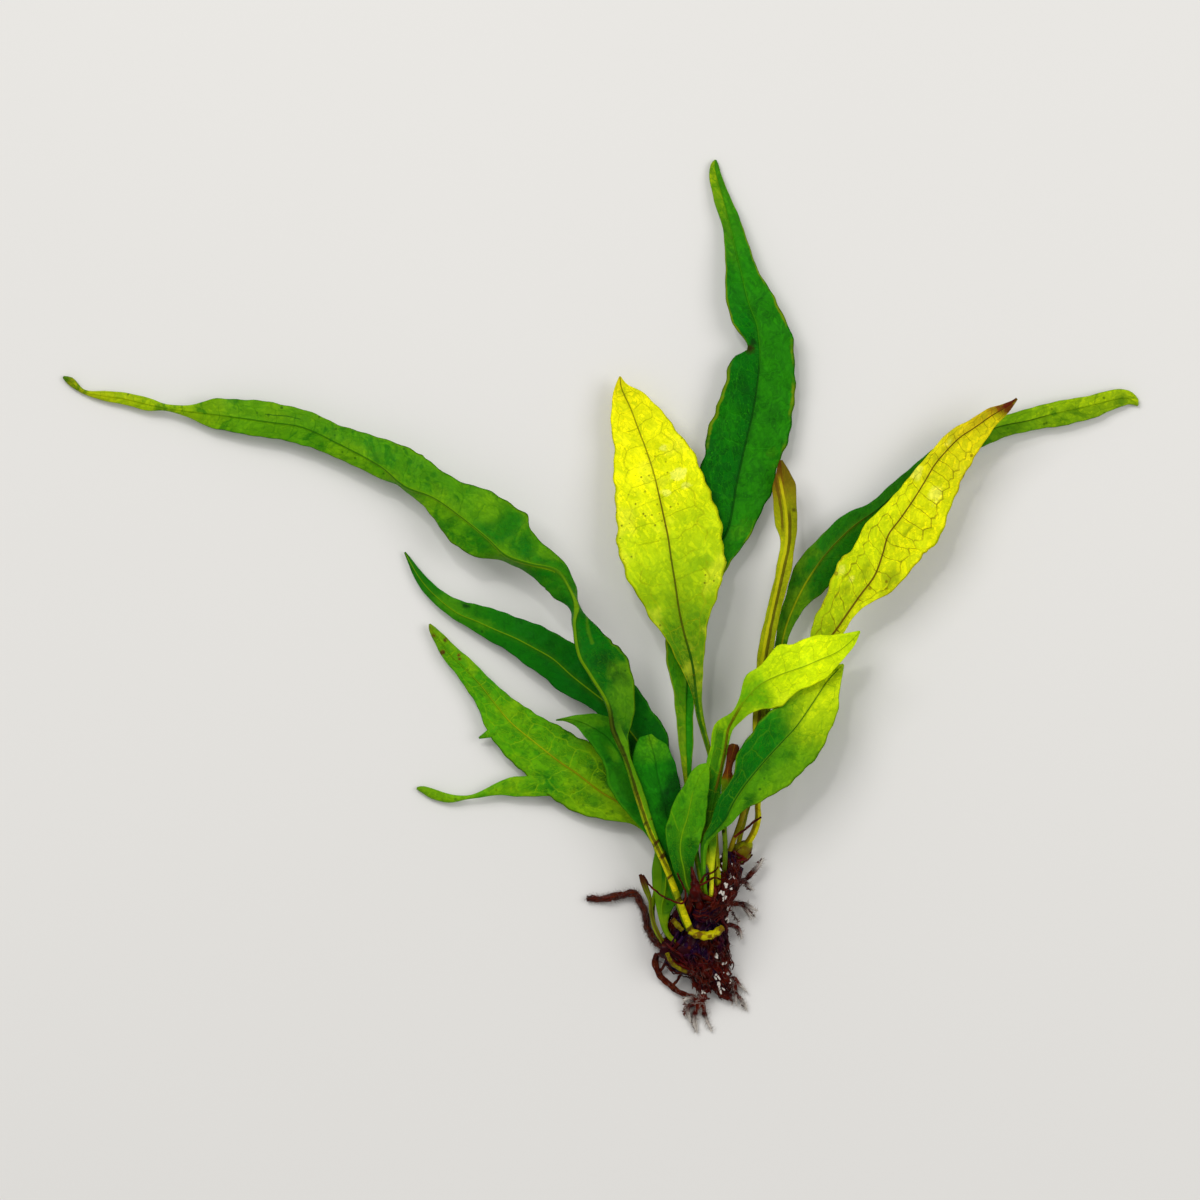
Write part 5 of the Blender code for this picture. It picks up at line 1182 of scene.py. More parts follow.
# %% Broad right frond
look = Frond("frond_broad_right", "frond_mid_broad", [
    (0.0, 150, 156, 4), (0.12, 60, 112, 0), (0.3, 0, 88, 0), (0.5, 0, 100, 0), (0.66, 8, 112, 0),
    (0.76, 34, 122, 0), (0.86, 90, 150, 0), (1.0, 150, 186, 0),
])
look.half((84, 148, 0), 0.75)
look.streaks((0, 96, 0), 0.5, 0.52)
look.patches((110, 166, 0), 0.25, 0.55, 0.12)
spots(look, (196, 224, 0), 0.7, (44.6, -22.4, 6.5, 1.3))
spots(look, (216, 238, 0), 0.6, (45.8, -18.6, 3.6, 1.2))
spots(look, (106, 160, 0), 0.55,
    (36.0, -38.2, 2.6, 1.8), (32.6, -41.0, 2.0, 1.8), (40.4, -34.0, 3.0, 1.8),
)
spots(look, (0, 76, 0), 0.6, (27.0, -36.4, 1.2, 1.6), (29.6, -41.4, 1.2, 1.6), (33.0, -33.4, 1.0, 1.6))
vein_net(look, (90, 156, 0), 0.4, 5.4, 0.24)
side_veins(look, (88, 152, 0), 0.4, 5.4, (0.3, 0.5))
rib(look, (110, 160, 0), 0.35, 0.3, 0.0, 0.4, 0.95)
rib(look, (0, 72, 0), 0.8, 0.1, 0.06, 0.28, 0.96)
margin(look, (120, 160, 0), 0.45)
specks(look, (10, 60, 0), 0.6)
grow(look, "leaf_broad_right", 59, ripple=0.28, swell=0.16)

# %% [markdown]
# ## Withered pieces
# A narrow frond has folded along its rib and gone brown at its top, a small round one
# has a dead red-brown end, and a tiny one is curled up beside the roots.

# %% Withered and stunted fronds
look = Frond("frond_withered_narrow", "frond_withered_folded", [
    (0.0, 130, 110, 10), (0.2, 150, 130, 6), (0.4, 170, 176, 0), (0.6, 150, 164, 0),
    (0.78, 176, 184, 0), (0.86, 150, 154, 0), (0.92, 124, 96, 4), (0.97, 90, 50, 2),
])
look.streaks((110, 120, 0), 0.4, 0.52)
look.half((120, 128, 0), 0.3)
vein_net(look, (104, 92, 0), 0.4, 2.4)
look.stalk_band((70, 52, 0), 0.75, -0.3, 0.3, 0.3, 0.86)
look.stalk_band((204, 196, 10), 0.7, 0.5, 0.9, 0.3, 0.94)
look.stalk_band((90, 60, 4), 0.7, 1.4, 1.8, 0.84, 1.0)
margin(look, (110, 80, 0), 0.5)
spots(look, (60, 44, 0), 0.6, (31.8, -24.4, 1.2, 1.2))
spots(look, (60, 50, 0), 0.8, (38.8, 17.0, 0.5))
grow(look, "leaf_withered_narrow", 61, ripple=0.5)

look = Frond("frond_old_stub", "frond_withered_stub", [
    (0.0, 60, 70, 0), (0.34, 90, 120, 0), (0.62, 72, 124, 0), (0.74, 96, 120, 0), (0.76, 110, 70, 0),
    (0.8, 84, 24, 2), (0.88, 74, 10, 4), (1.0, 62, 4, 2),
])
look.streaks((40, 70, 0), 0.5, 0.52)
look.patches((110, 40, 6), 0.4, 0.54, 0.08)
vein_net(look, (60, 80, 0), 0.5, 1.8)
rib(look, (150, 90, 10), 0.6, 0.1, 0.1, 0.76)
specks(look, (20, 16, 0), 0.8, 500.0, 0.18)
grow(look, "leaf_old_stub", 67, gloss=0.3)

look = Frond("frondlet_left", "frond_withered_tiny", [
    (0.0, 120, 118, 4), (0.5, 110, 124, 0), (0.76, 96, 110, 0), (0.9, 80, 40, 4), (1.0, 54, 16, 4),
])
look.streaks((70, 60, 0), 0.4, 0.52)
rib(look, (60, 24, 4), 0.7, 0.1, 0.1)
grow(look, "leaf_tiny_left", 71, gloss=0.4)

# %% [markdown]
# ## Roots from routes
# A java fern's roots are dark wiry strands, a third of a millimetre to a millimetre
# thick, that fork, taper and end in fine pale hairs. Drawing them one by one as meshes
# would be slow. Instead every root is only a route, a line of points with a thickness,
# and one Geometry Nodes tree sweeps a tube along all the routes, roughens it, and
# plants a hair wherever the route is marked as hairy.

# %% The tree that grows roots along routes
ROOT_SOCKETS = {
    "Routes": ("Geometry", None),
    "Sides": ("Int", 7),
    "Knobs": ("Float", 0.0002),
    "Knob Size": ("Float", 900.0),
    "Hair Density": ("Float", 0.0),
    "Hair Length": ("Float", 0.0012),
    "Seed": ("Int", 1),
    "Root Finish": ("Material", None),
    "Hair Finish": ("Material", None),
}

root_tree = bpy.data.node_groups.new("roots_along_routes", "GeometryNodeTree")
root_inputs = {}
for name, (kind, number) in ROOT_SOCKETS.items():
    socket = root_tree.interface.new_socket(name=name, in_out="INPUT", socket_type="NodeSocket" + kind)
    if number is not None:
        socket.default_value = number
    root_inputs[name] = socket.identifier
root_tree.interface.new_socket(name="Roots", in_out="OUTPUT", socket_type="NodeSocketGeometry")

wire = Wiring(root_tree)
inputs_node = root_tree.nodes.new("NodeGroupInput")
given = {name: Value(wire, inputs_node.outputs[name]) for name in ROOT_SOCKETS}


def marked(name):
    """A number kept on the routes' points."""
    return wire.add("GeometryNodeInputNamedAttribute", {"data_type": "FLOAT"}, {0: name})


curves = wire.add("GeometryNodeMeshToCurve", {}, {0: given["Routes"]})
circle = wire.add("GeometryNodeCurvePrimitiveCircle", {}, {"Resolution": given["Sides"], "Radius": 1.0})
sweep = {"Curve": curves, "Profile Curve": circle, "Scale": marked("thickness"), "Fill Caps": True}
tubes = wire.add("GeometryNodeCurveToMesh", {}, sweep)
place = wire.add("GeometryNodeInputPosition", {}, {})
normal = wire.add("GeometryNodeInputNormal", {}, {})
rough = wire.noise(place, given["Knob Size"], 3.0, 0.6) - 0.5
push = {0: normal, "Scale": rough * given["Knobs"]}
push = wire.add("ShaderNodeVectorMath", {"operation": "SCALE"}, push)
tubes = wire.add("GeometryNodeSetPosition", {}, {0: tubes, "Offset": push})
tubes = wire.add("GeometryNodeSetShadeSmooth", {}, {0: tubes})
tubes = wire.add("GeometryNodeSetMaterial", {}, {0: tubes, "Material": given["Root Finish"]})
print("the tree sweeps tubes along routes")

# %% Hairs planted on the roots
HAIR_BOW = {"Resolution": 4, "Start": (0.0, 0.0, 0.0), "Middle": (0.1, 0.0, 0.6), "End": (0.6, 0.0, 0.9)}
HAIR_THICKNESS = 0.03
TABLE_GAP = 0.00003


def at_random(low, high):
    """A number of its own for each hair."""
    return wire.add("FunctionNodeRandomValue", {}, {2: low, 3: high, "Seed": given["Seed"]}, output=1)


planted = root_tree.nodes.new("GeometryNodeDistributePointsOnFaces")
wire.feed(planted.inputs["Mesh"], tubes)
wire.feed(planted.inputs["Density"], marked("hairy") * given["Hair Density"])
wire.feed(planted.inputs["Seed"], given["Seed"])
hair = wire.add("GeometryNodeCurveQuadraticBezier", {}, HAIR_BOW)
share = wire.add("GeometryNodeSplineParameter", {}, {})
paler = {0: hair, "Name": "pale", "Value": share * 0.6 + 0.4}
hair = wire.add("GeometryNodeStoreNamedAttribute", {}, paler)
ring = wire.add("GeometryNodeCurvePrimitiveCircle", {}, {"Resolution": 3, "Radius": HAIR_THICKNESS})
hair = wire.add("GeometryNodeCurveToMesh", {}, {0: hair, 1: ring, "Scale": 1.0 - share * 0.8})
about_z = {"Axis": (0.0, 0.0, 1.0), "Angle": at_random(0.0, 6.283)}
twist = wire.add("FunctionNodeAxisAngleToRotation", {}, about_z)
lean = {"Rotation": Value(wire, planted.outputs["Rotation"]), "Rotate By": twist}
spun = wire.add("FunctionNodeRotateRotation", {"rotation_space": "LOCAL"}, lean)
size = at_random(0.35, 1.2) * given["Hair Length"]
scales = wire.add("ShaderNodeCombineXYZ", {}, {0: size, 1: size, 2: size})
points = Value(wire, planted.outputs["Points"])
spread_out = {"Points": points, "Instance": hair, "Rotation": spun, "Scale": scales}
hairs = wire.add("GeometryNodeInstanceOnPoints", {}, spread_out)
hairs = wire.add("GeometryNodeRealizeInstances", {}, {0: hairs})
hairs = wire.add("GeometryNodeSetMaterial", {}, {0: hairs, "Material": given["Hair Finish"]})
both = root_tree.nodes.new("GeometryNodeJoinGeometry")
wire.feed(both.inputs[0], hairs)
wire.feed(both.inputs[0], tubes)
x, y, z = wire.axes(place, 3)
above = wire.add("ShaderNodeCombineXYZ", {}, {0: x, 1: y, 2: z.at_least(TABLE_GAP)})
laid = wire.add("GeometryNodeSetPosition", {}, {0: Value(wire, both.outputs[0]), "Position": above})
wire.feed(root_tree.nodes.new("NodeGroupOutput").inputs[0], laid)
print("the root tree has", len(root_tree.nodes), "nodes")

# %% [markdown]
# ## The colour of the roots
# Wet roots are nearly black, with a deep red where light comes through and brown
# scales on the thicker ones. Young hairs hold no colour and look grey. Each point of a
# route says how pale it is, so one finish covers a root from its dark base to its
# colourless end. The short tips on top of the mass are marked almost fully pale, and
# their near-white paints the glints of the wet roots.

# %% Root and hair finishes
VIOLET_MIDDLE = (0.0190, -0.0675, 0.005)
VIOLET = (22, 0, 38)
COLOURLESS_AND_GLINT = (204, 198, 188)


def root_finish(name, dark, warm, scales, warmth, gloss, scaly=0.45, ends=0.9, violet=0.0):
    """Dark wet root: two browns in patches, paler where the route says so."""
    kit = Finish(name, Coat_Weight=0.04, Coat_Roughness=0.1, Specular_IOR_Level=0.05)
    place = kit.add("ShaderNodeTexCoord", {}, {}, output="Object")
    pale = kit.add("ShaderNodeAttribute", {"attribute_name": "pale"}, {}, output="Fac")
    cloud = kit.noise(place, 260.0, 3.0, 0.6)
    fine = kit.noise(place, 1500.0, 3.0, 0.6)
    colour = kit.blend(dark, warm, cloud.above(0.44, 0.2) * warmth)
    mottled = kit.noise(place, 620.0, 3.0, 0.6)
    colour = kit.blend(colour, scales, mottled.above(0.46, 0.12) * scaly)
    if violet:
        both = {0: place, 1: VIOLET_MIDDLE}
        away = kit.add("ShaderNodeVectorMath", {"operation": "DISTANCE"}, both, "Value")
        near = away.below(0.0045, 0.003) * kit.noise(place, 190.0, 3.0, 0.6).above(0.44, 0.08)
        colour = kit.blend(colour, VIOLET, near * violet)
    # Near-white where the route is pale: colourless hair ends, and painted glints on the short tips.
    colour = kit.blend(colour, COLOURLESS_AND_GLINT, pale.above(0.25, 0.7) * ends)
    kit.surface(Base_Color=colour, Roughness=gloss + fine * 0.25, Normal=kit.bump(fine, 0.7, 0.00015))
    return kit.material


root_core = root_finish("root_violet_core", (20, 0, 34), (34, 4, 24), (50, 8, 14), 0.8, 0.2)
root_dark = root_finish("root_wet_dark", (38, 0, 0), (74, 6, 0), (116, 36, 4), 0.85, 0.24, 0.25, 0.9, 0.9)
root_brown = root_finish("root_wet_brown", (46, 4, 0), (80, 16, 0), (110, 44, 8), 0.9, 0.25, 0.3)
hair_grey = root_finish("root_hair_grey", (52, 18, 10), (84, 40, 26), (120, 96, 76), 0.5, 0.3)
hair_brown = root_finish("root_hair_brown", (44, 4, 2), (76, 22, 8), (110, 60, 30), 0.5, 0.3, 0.3, 0.3)
olive = root_finish("stalk_olive", (180, 174, 0), (130, 112, 0), (84, 38, 2), 0.95, 0.35, 0.8)
olive_old = root_finish("stalk_olive_old", (112, 104, 0), (84, 66, 2), (64, 22, 2), 0.8, 0.35, 0.7)
print("root finishes:", root_dark.name, root_brown.name, hair_grey.name, olive.name)

# %% [markdown]
# ## Where the roots run
# These routes repeat the part's own, so that the fine roots lie where the solids are:
# x, y, z and radius in millimetres, from the thick end of each.

# %% Routes of the stem and the root mass
RHIZOME = [
    (12.2, -70.4, 5.2, 1.8), (15.6, -71.2, 5.4, 2.2), (18.6, -69.0, 5.6, 2.3), (20.6, -65.0, 5.7, 2.3),
    (22.2, -60.4, 5.7, 2.3), (24.4, -55.6, 5.4, 2.2), (27.0, -52.4, 5.0, 1.9), (28.8, -51.2, 5.2, 1.9),
    (30.6, -50.3, 5.2, 1.4),
]
MASS = {
    "middle": [
        (13.4, -72.4, 2.6, 1.6), (16.4, -73.4, 3.0, 2.9), (20.6, -72.4, 3.2, 3.2),
        (22.2, -67.4, 3.2, 3.0), (22.8, -62.4, 3.1, 2.8), (25.4, -57.4, 3.0, 2.3),
        (27.6, -54.0, 2.8, 1.6),
    ],
    "low end": [
        (18.6, -71.6, 3.0, 2.8), (20.4, -75.6, 2.7, 2.6), (20.8, -78.0, 2.0, 1.9),
        (20.6, -79.4, 1.6, 1.2),
    ],
    "prong": [
        (21.6, -74.0, 2.8, 2.4), (23.4, -77.2, 2.2, 1.7), (24.8, -79.4, 1.6, 1.1),
        (26.0, -80.8, 1.2, 0.6),
    ],
    "shoulder": [
        (14.6, -70.4, 4.2, 1.8), (15.6, -67.0, 4.2, 2.1), (17.0, -63.8, 4.2, 1.9),
        (18.2, -61.0, 4.6, 1.2),
    ],
    "crown": [
        (18.8, -63.2, 8.6, 1.2), (20.2, -63.4, 8.8, 1.9), (22.2, -62.6, 8.6, 2.2),
        (23.8, -60.8, 7.9, 2.0), (25.8, -57.2, 7.3, 1.8), (26.0, -54.0, 7.2, 1.6),
        (25.6, -51.4, 6.8, 1.2),
    ],
}
ROOT_STRANDS = [
    [
        (13.2, -71.4, 6.2, 0.7), (15.4, -73.6, 6.0, 0.7), (18.2, -74.6, 5.4, 0.6),
        (21.4, -77.4, 4.4, 0.5),
    ],
    [
        (17.0, -69.6, 7.2, 0.7), (19.4, -72.6, 6.4, 0.7), (20.8, -76.0, 5.0, 0.6),
        (21.2, -79.4, 2.8, 0.5),
    ],
    [
        (21.6, -66.4, 7.4, 0.8), (23.4, -69.4, 6.2, 0.7), (24.6, -73.0, 4.4, 0.6),
        (25.2, -77.6, 2.4, 0.6),
    ],
    [
        (22.8, -62.4, 7.4, 0.8), (24.2, -65.0, 6.0, 0.7), (24.6, -69.0, 4.4, 0.6),
        (25.6, -73.6, 2.6, 0.5),
    ],
    [
        (24.0, -58.6, 7.2, 0.7), (24.9, -61.2, 6.0, 0.7), (24.4, -65.0, 4.4, 0.6),
        (24.8, -71.0, 3.6, 0.5),
    ],
    [
        (25.4, -55.6, 6.8, 0.7), (26.8, -58.4, 5.4, 0.6), (24.9, -62.4, 4.6, 0.6),
        (23.8, -67.8, 5.2, 0.5),
    ],
    [
        (18.4, -66.8, 7.2, 0.6), (20.8, -69.6, 6.6, 0.6), (22.8, -73.4, 4.8, 0.5),
        (26.2, -78.6, 1.8, 0.5),
    ],
]
ROOTS_ON_TOP = [
    [
        (20.0, -57.4, 12.2, 0.22), (20.9, -56.0, 12.4, 0.2), (22.4, -55.4, 11.6, 0.18),
        (23.6, -54.4, 9.4, 0.15),
    ],
    [
        (19.8, -57.9, 12.6, 0.22), (22.0, -56.8, 12.0, 0.2), (22.9, -56.4, 10.8, 0.18),
        (24.2, -56.8, 9.4, 0.15),
    ],
    [
        (19.0, -58.4, 12.6, 0.6), (19.6, -61.2, 10.8, 0.8), (20.6, -63.6, 9.6, 0.6),
        (21.6, -66.0, 8.0, 0.4),
    ],
    [
        (18.8, -58.8, 12.4, 0.5), (18.0, -61.4, 10.2, 0.8), (17.8, -64.0, 7.6, 0.8),
        (17.6, -66.0, 6.6, 0.5),
    ],
    [
        (19.2, -58.8, 12.4, 0.5), (21.2, -60.4, 11.2, 0.6), (23.2, -61.2, 9.8, 0.5),
        (24.6, -62.6, 7.8, 0.3),
    ],
    [
        (22.6, -57.6, 9.6, 0.3), (23.0, -59.4, 10.4, 0.4), (22.4, -62.0, 10.6, 0.4),
        (21.6, -64.6, 9.4, 0.3),
    ],
    [(14.2, -70.0, 7.6, 0.24), (15.0, -68.2, 8.2, 0.2), (15.8, -66.8, 8.2, 0.15)],
    [
        (26.4, -53.6, 7.6, 0.4), (27.8, -53.0, 7.2, 0.35), (29.2, -52.6, 6.2, 0.25),
        (30.0, -51.4, 6.0, 0.15),
    ],
    [
        (26.6, -51.2, 7.8, 0.35), (27.6, -51.8, 7.6, 0.3), (28.8, -52.6, 6.4, 0.25),
        (28.6, -53.8, 5.0, 0.15),
    ],
    [
        (13.0, -69.4, 7.4, 0.3), (14.4, -70.8, 7.8, 0.35), (16.2, -72.0, 7.6, 0.3),
        (17.4, -74.0, 6.8, 0.2),
    ],
    [
        (16.6, -68.2, 8.2, 0.35), (15.4, -70.0, 8.0, 0.4), (14.0, -71.6, 7.2, 0.3),
        (13.4, -73.4, 5.6, 0.2),
    ],
    [(18.3, -61.4, 10.8, 0.2), (17.8, -63.6, 10.4, 0.15)],
]
# Places of short near-white tips on top of the mass, where they paint the glints of the wet roots.
GLINT_TIPS = [
    (24.0, -52.4, 8.4), (24.7, -53.6, 8.8), (23.6, -54.8, 9.2), (26.6, -53.9, 8.7), (26.3, -56.0, 9.2),
    (25.2, -57.9, 9.8), (26.3, -58.2, 9.2), (24.4, -59.3, 10.2), (24.8, -60.2, 10.2),
    (25.7, -62.2, 8.6), (25.5, -64.8, 6.6), (23.4, -71.9, 6.2), (25.2, -73.3, 4.6), (25.3, -75.0, 3.8),
    (23.2, -76.4, 4.6), (23.6, -77.8, 4.0), (24.4, -78.8, 3.2), (26.0, -77.2, 2.6), (20.4, -79.2, 3.2),
]
print("root mass:", len(MASS), "forms and", len(ROOT_STRANDS), "main strands")

# %% Routes of the roots that stand clear
LONG_LEFT = [
    (12.8, -70.6, 3.6, 0.7), (11.0, -69.2, 2.8, 0.75),
    (9.9, -67.4, 2.2, 0.75), (9.4, -65.6, 1.8, 0.75), (8.8, -63.2, 1.4, 0.7), (8.0, -61.2, 1.1, 0.7),
    (6.8, -59.8, 1.0, 0.7), (4.4, -60.2, 0.9, 0.65), (0.8, -60.9, 0.8, 0.6), (-2.6, -61.0, 0.6, 0.4),
]
LOOP_LEFT = [
    (11.6, -72.0, 1.6, 0.6), (11.0, -73.8, 1.4, 0.6), (12.0, -76.2, 1.2, 0.6), (14.0, -78.4, 1.0, 0.6),
    (16.2, -79.8, 0.9, 0.55), (19.0, -80.9, 0.8, 0.45), (21.6, -81.0, 0.7, 0.35),
]
ROOTS_INSIDE_LOOP = [
    [
        (13.2, -72.0, 2.6, 0.4), (13.4, -73.4, 1.6, 0.35), (12.8, -74.4, 1.4, 0.35),
        (11.9, -75.6, 1.3, 0.3),
    ],
    [(14.6, -78.4, 1.3, 0.35), (15.6, -77.2, 1.4, 0.3), (16.4, -76.0, 2.2, 0.3)],
]
RUNNER = [
    (15.4, -55.4, 12.6, 0.2), (16.2, -57.2, 12.7, 0.2), (17.0, -59.2, 12.6, 0.2),
    (17.0, -60.6, 12.2, 0.2), (16.0, -61.4, 11.8, 0.2), (13.4, -60.5, 11.2, 0.2),
    (11.4, -59.3, 9.9, 0.2), (9.6, -57.6, 8.3, 0.2), (8.6, -56.0, 7.2, 0.2),
]
CROSSING = [
    (26.8, -48.4, 9.6, 0.25), (29.0, -46.6, 9.4, 0.25), (30.6, -45.4, 9.2, 0.25),
    (32.2, -44.2, 9.0, 0.2),
]
SPIKE = [
    (19.2, -60.8, 12.4, 1.1), (19.0, -58.8, 12.9, 1.2), (18.7, -57.0, 13.0, 0.7),
    (18.2, -54.2, 13.0, 0.2),
]
BRANCH = [
    (17.9, -67.0, 9.6, 0.7), (19.2, -67.6, 9.4, 0.85), (20.8, -68.0, 9.3, 0.9),
    (22.4, -67.8, 9.2, 0.85), (24.6, -66.4, 8.6, 0.7),
]
REMNANT = [
    (13.4, -71.6, 8.5, 0.4), (14.2, -73.2, 7.9, 0.4), (15.4, -74.4, 7.3, 0.4), (17.4, -75.4, 6.6, 0.35),
]
STUB = [
    (14.5, -64.8, 8.9, 0.5), (15.4, -65.8, 9.0, 0.6), (16.5, -66.9, 8.6, 0.45),
]
print("the long root has", len(LONG_LEFT), "points, the loop", len(LOOP_LEFT))

# %% Routes of the tufts
TUFTS = {
    "bottom": [
        [(20.4, -78.8, 2.0, 0.7)],
        [
            (20.8, -80.9, 2.3, 0.6), (20.0, -82.1, 1.9, 0.6), (18.8, -84.6, 0.7, 0.5),
            (19.4, -87.8, 0.5, 0.15),
        ],
        [
            (19.8, -81.7, 2.1, 0.45), (17.8, -82.6, 1.1, 0.5), (17.6, -84.2, 0.6, 0.4),
            (18.4, -86.0, 0.5, 0.15),
        ],
        [(20.6, -81.7, 2.1, 0.5), (21.0, -84.0, 0.8, 0.4), (22.4, -87.6, 0.5, 0.15)],
        [(20.2, -81.2, 2.2, 0.5), (18.2, -80.9, 2.2, 0.4), (16.6, -81.4, 1.5, 0.2)],
    ],
    "low_right": [
        [(24.4, -77.6, 2.0, 0.6)],
        [(26.8, -77.0, 1.6, 0.5), (27.9, -78.2, 1.2, 0.4), (29.4, -79.6, 0.9, 0.15)],
        [(26.9, -78.2, 1.5, 0.45), (27.2, -80.4, 1.1, 0.4), (27.4, -82.2, 0.8, 0.15)],
        [(27.2, -80.0, 1.2, 0.4), (28.4, -81.6, 0.9, 0.3), (29.2, -83.4, 0.6, 0.15)],
    ],
    "upper_right": [
        [(26.2, -57.6, 5.0, 0.6)],
        [
            (28.6, -57.4, 3.2, 0.5), (29.9, -56.4, 3.2, 0.5), (31.5, -54.8, 3.0, 0.35),
            (32.8, -52.8, 2.8, 0.15),
        ],
        [(29.0, -57.4, 3.2, 0.45), (29.7, -58.2, 2.9, 0.4), (30.6, -59.2, 2.6, 0.15)],
    ],
    "mid_right": [
        [(24.4, -61.6, 4.4, 0.6)],
        [(28.4, -62.0, 2.8, 0.5), (29.4, -62.2, 2.6, 0.4), (31.4, -63.4, 2.2, 0.15)],
        [(28.5, -62.1, 2.8, 0.45), (29.6, -63.4, 2.4, 0.3), (30.6, -65.0, 2.0, 0.15)],
    ],
    "lean_right": [
        [(24.0, -65.6, 4.0, 0.5)],
        [(27.4, -66.6, 2.6, 0.45), (28.1, -67.6, 2.2, 0.35), (28.4, -69.0, 1.8, 0.15)],
    ],
}
FRINGES = {
    "bottom": [(17.2, -80.8, 1.6, 17.0, -84.6, 0.7, 12), (18.6, -84.0, 0.8, 19.0, -87.0, 0.6, 8)],
    "low_right": [(25.8, -79.6, 1.4, 26.6, -81.8, 0.8, 9), (27.8, -80.6, 1.0, 28.8, -82.8, 0.7, 6)],
    "upper_right": [(28.8, -57.8, 2.8, 30.2, -59.2, 2.6, 8), (31.2, -55.2, 2.9, 32.4, -53.2, 2.8, 9)],
    "mid_right": [(25.8, -62.8, 3.4, 27.8, -65.6, 2.4, 12), (29.6, -62.6, 2.4, 31.0, -64.6, 2.0, 10)],
    "lean_right": [(26.4, -66.0, 2.8, 28.2, -68.4, 1.8, 6)],
}
print("tufts:", list(TUFTS))

# %% [markdown]
# ## From a route to a grown root
# A route is smoothed, given a little wander so that it doesn't look drawn with a ruler,
# and kept above the table. The wander fades out at the thick end, where the root joins
# the plant. Near the free end the route is marked pale and hairy.

# %% Routes as strands with marks
ROUTE_STEP = 0.45


def wandering(route, amount, seed):
    """A smooth route with a seeded wander that starts at nothing."""
    rows = smooth_rows(route, ROUTE_STEP)
    count = len(rows)
    rng = random.Random(seed)
    arc = np.linspace(0.0, count * ROUTE_STEP, count)
    ease = smoothstep(0.0, 2.5, arc)
    for axis in range(3):
        sway = waves(arc, [(5.2, 0.5), (2.3, 0.3), (1.1, 0.15)], 0.0, rng)
        rows[:, axis] += amount * ease * (sway - sway[0])
    rows[:, 3] *= 1.0 + 0.12 * waves(arc, [(1.9, 1.0)], 0.0, rng)
    rows[:, 2] = np.maximum(rows[:, 2], CENTRE[2] + rows[:, 3] + 0.08)
    return rows


def marked_rows(rows, pale_end=0.0, hairy=(0.0, 0.0)):
    """A route with how pale it gets by its end, and how hairy it is from base to end."""
    share = np.linspace(0.0, 1.0, len(rows))
    return rows, pale_end * smoothstep(0.35, 1.0, share), hairy[0] + (hairy[1] - hairy[0]) * share


def strand(route, sway, seed, pale_end=0.0, hairy=(0.0, 0.0)):
    """A wandering route with its marks."""
    return marked_rows(wandering(route, sway, seed), pale_end, hairy)


def beside(route, right, away, up, share):
    """A route moved a little, with a share of its thickness."""
    shifted = np.array(route, float) + (right, away, up, 0.0)
    shifted[:, 3] *= share
    return shifted


print("routes are sampled every", ROUTE_STEP, "mm")

# %% Strands as roots


def edges_mesh(name, strands):
    """All strands as one mesh of edges, with their marks kept on the points."""
    rows, pale, hairy = (np.concatenate(parts) for parts in zip(*strands))
    edges = []
    first = 0
    for route, _, _ in strands:
        edges += [(first + index, first + index + 1) for index in range(len(route) - 1)]
        first += len(route)
    mesh = bpy.data.meshes.new(name)
    mesh.from_pydata(((rows[:, :3] - CENTRE) * MM).tolist(), edges, [])
    for key, numbers in {"thickness": rows[:, 3] * MM, "pale": pale, "hairy": hairy}.items():
        mesh.attributes.new(key, "FLOAT", "POINT").data.foreach_set("value", numbers.astype(np.float32))
    return mesh


def grow_roots(name, node, strands, finish, slot="roots", **settings):
    """Roots grown along the strands by the tree, as one plain mesh."""
    lines = edges_mesh(name, strands)
    obj = new_object(name, lines)
    modifier = obj.modifiers.new("roots", "NODES")
    modifier.node_group = root_tree
    for key, value in {"Root Finish": finish, "Hair Finish": hair_grey, **settings}.items():
        modifier[root_inputs[key]] = value
    view = bpy.context.evaluated_depsgraph_get()
    grown = bpy.data.meshes.new_from_object(obj.evaluated_get(view))
    obj.modifiers.clear()
    obj.data = grown
    bpy.data.meshes.remove(lines)
    grown.name = name
    on_plant(obj, node)


print("inputs of the tree:", list(root_inputs))

# %% [markdown]
# ## The creeping stem and its mat of roots
# The stem itself is dark and smooth, almost purple, and ends in a short green growing
# tip. Round it and below it lie dozens of roots. Main strands follow the solid's own
# strands, many more lie between neighbours, and thin ones wrap round the whole mass.

# %% Strands between neighbouring strands


def between(routes, count, scatter, radius, seed):
    """Strands laid at random between neighbouring routes."""
    rng = random.Random(seed)
    result = []
    for number in range(count):
        pair = rng.randrange(len(routes) - 1)
        mix = rng.random()
        first = np.array(routes[pair], float)
        second = np.array(routes[pair + 1], float)
        rows = first + (second - first) * mix
        start = rng.uniform(0.0, 0.35)
        for axis in range(3):
            rows[:, axis] += rng.uniform(-scatter, scatter) * (1.0 if axis < 2 else 0.8)
        rows[0, :3] += (rows[1, :3] - rows[0, :3]) * start
        rows[:, 3] = np.linspace(1.0, rng.uniform(0.25, 0.7), len(rows)) * rng.uniform(0.5, 1.0) * radius
        result.append(strand(rows, 0.55, seed + number, 0.1, (0.1, 0.7)))
    return result


mass_strands = []
for number, route in enumerate(ROOT_STRANDS):
    mass_strands.append(strand(route, 0.3, 300 + number, 0.0, (0.2, 1.0)))
from_left = sorted(ROOT_STRANDS, key=lambda route: route[0][0])
mass_strands += between(from_left, 80, 0.8, 0.34, 400)
for number, route in enumerate(ROOTS_ON_TOP):
    mass_strands.append(strand(route, 0.1, 380 + number, 0.0, (0.0, 0.3)))
print("strands in the mass:", len(mass_strands))

# %% Thin roots wrapped round the mass


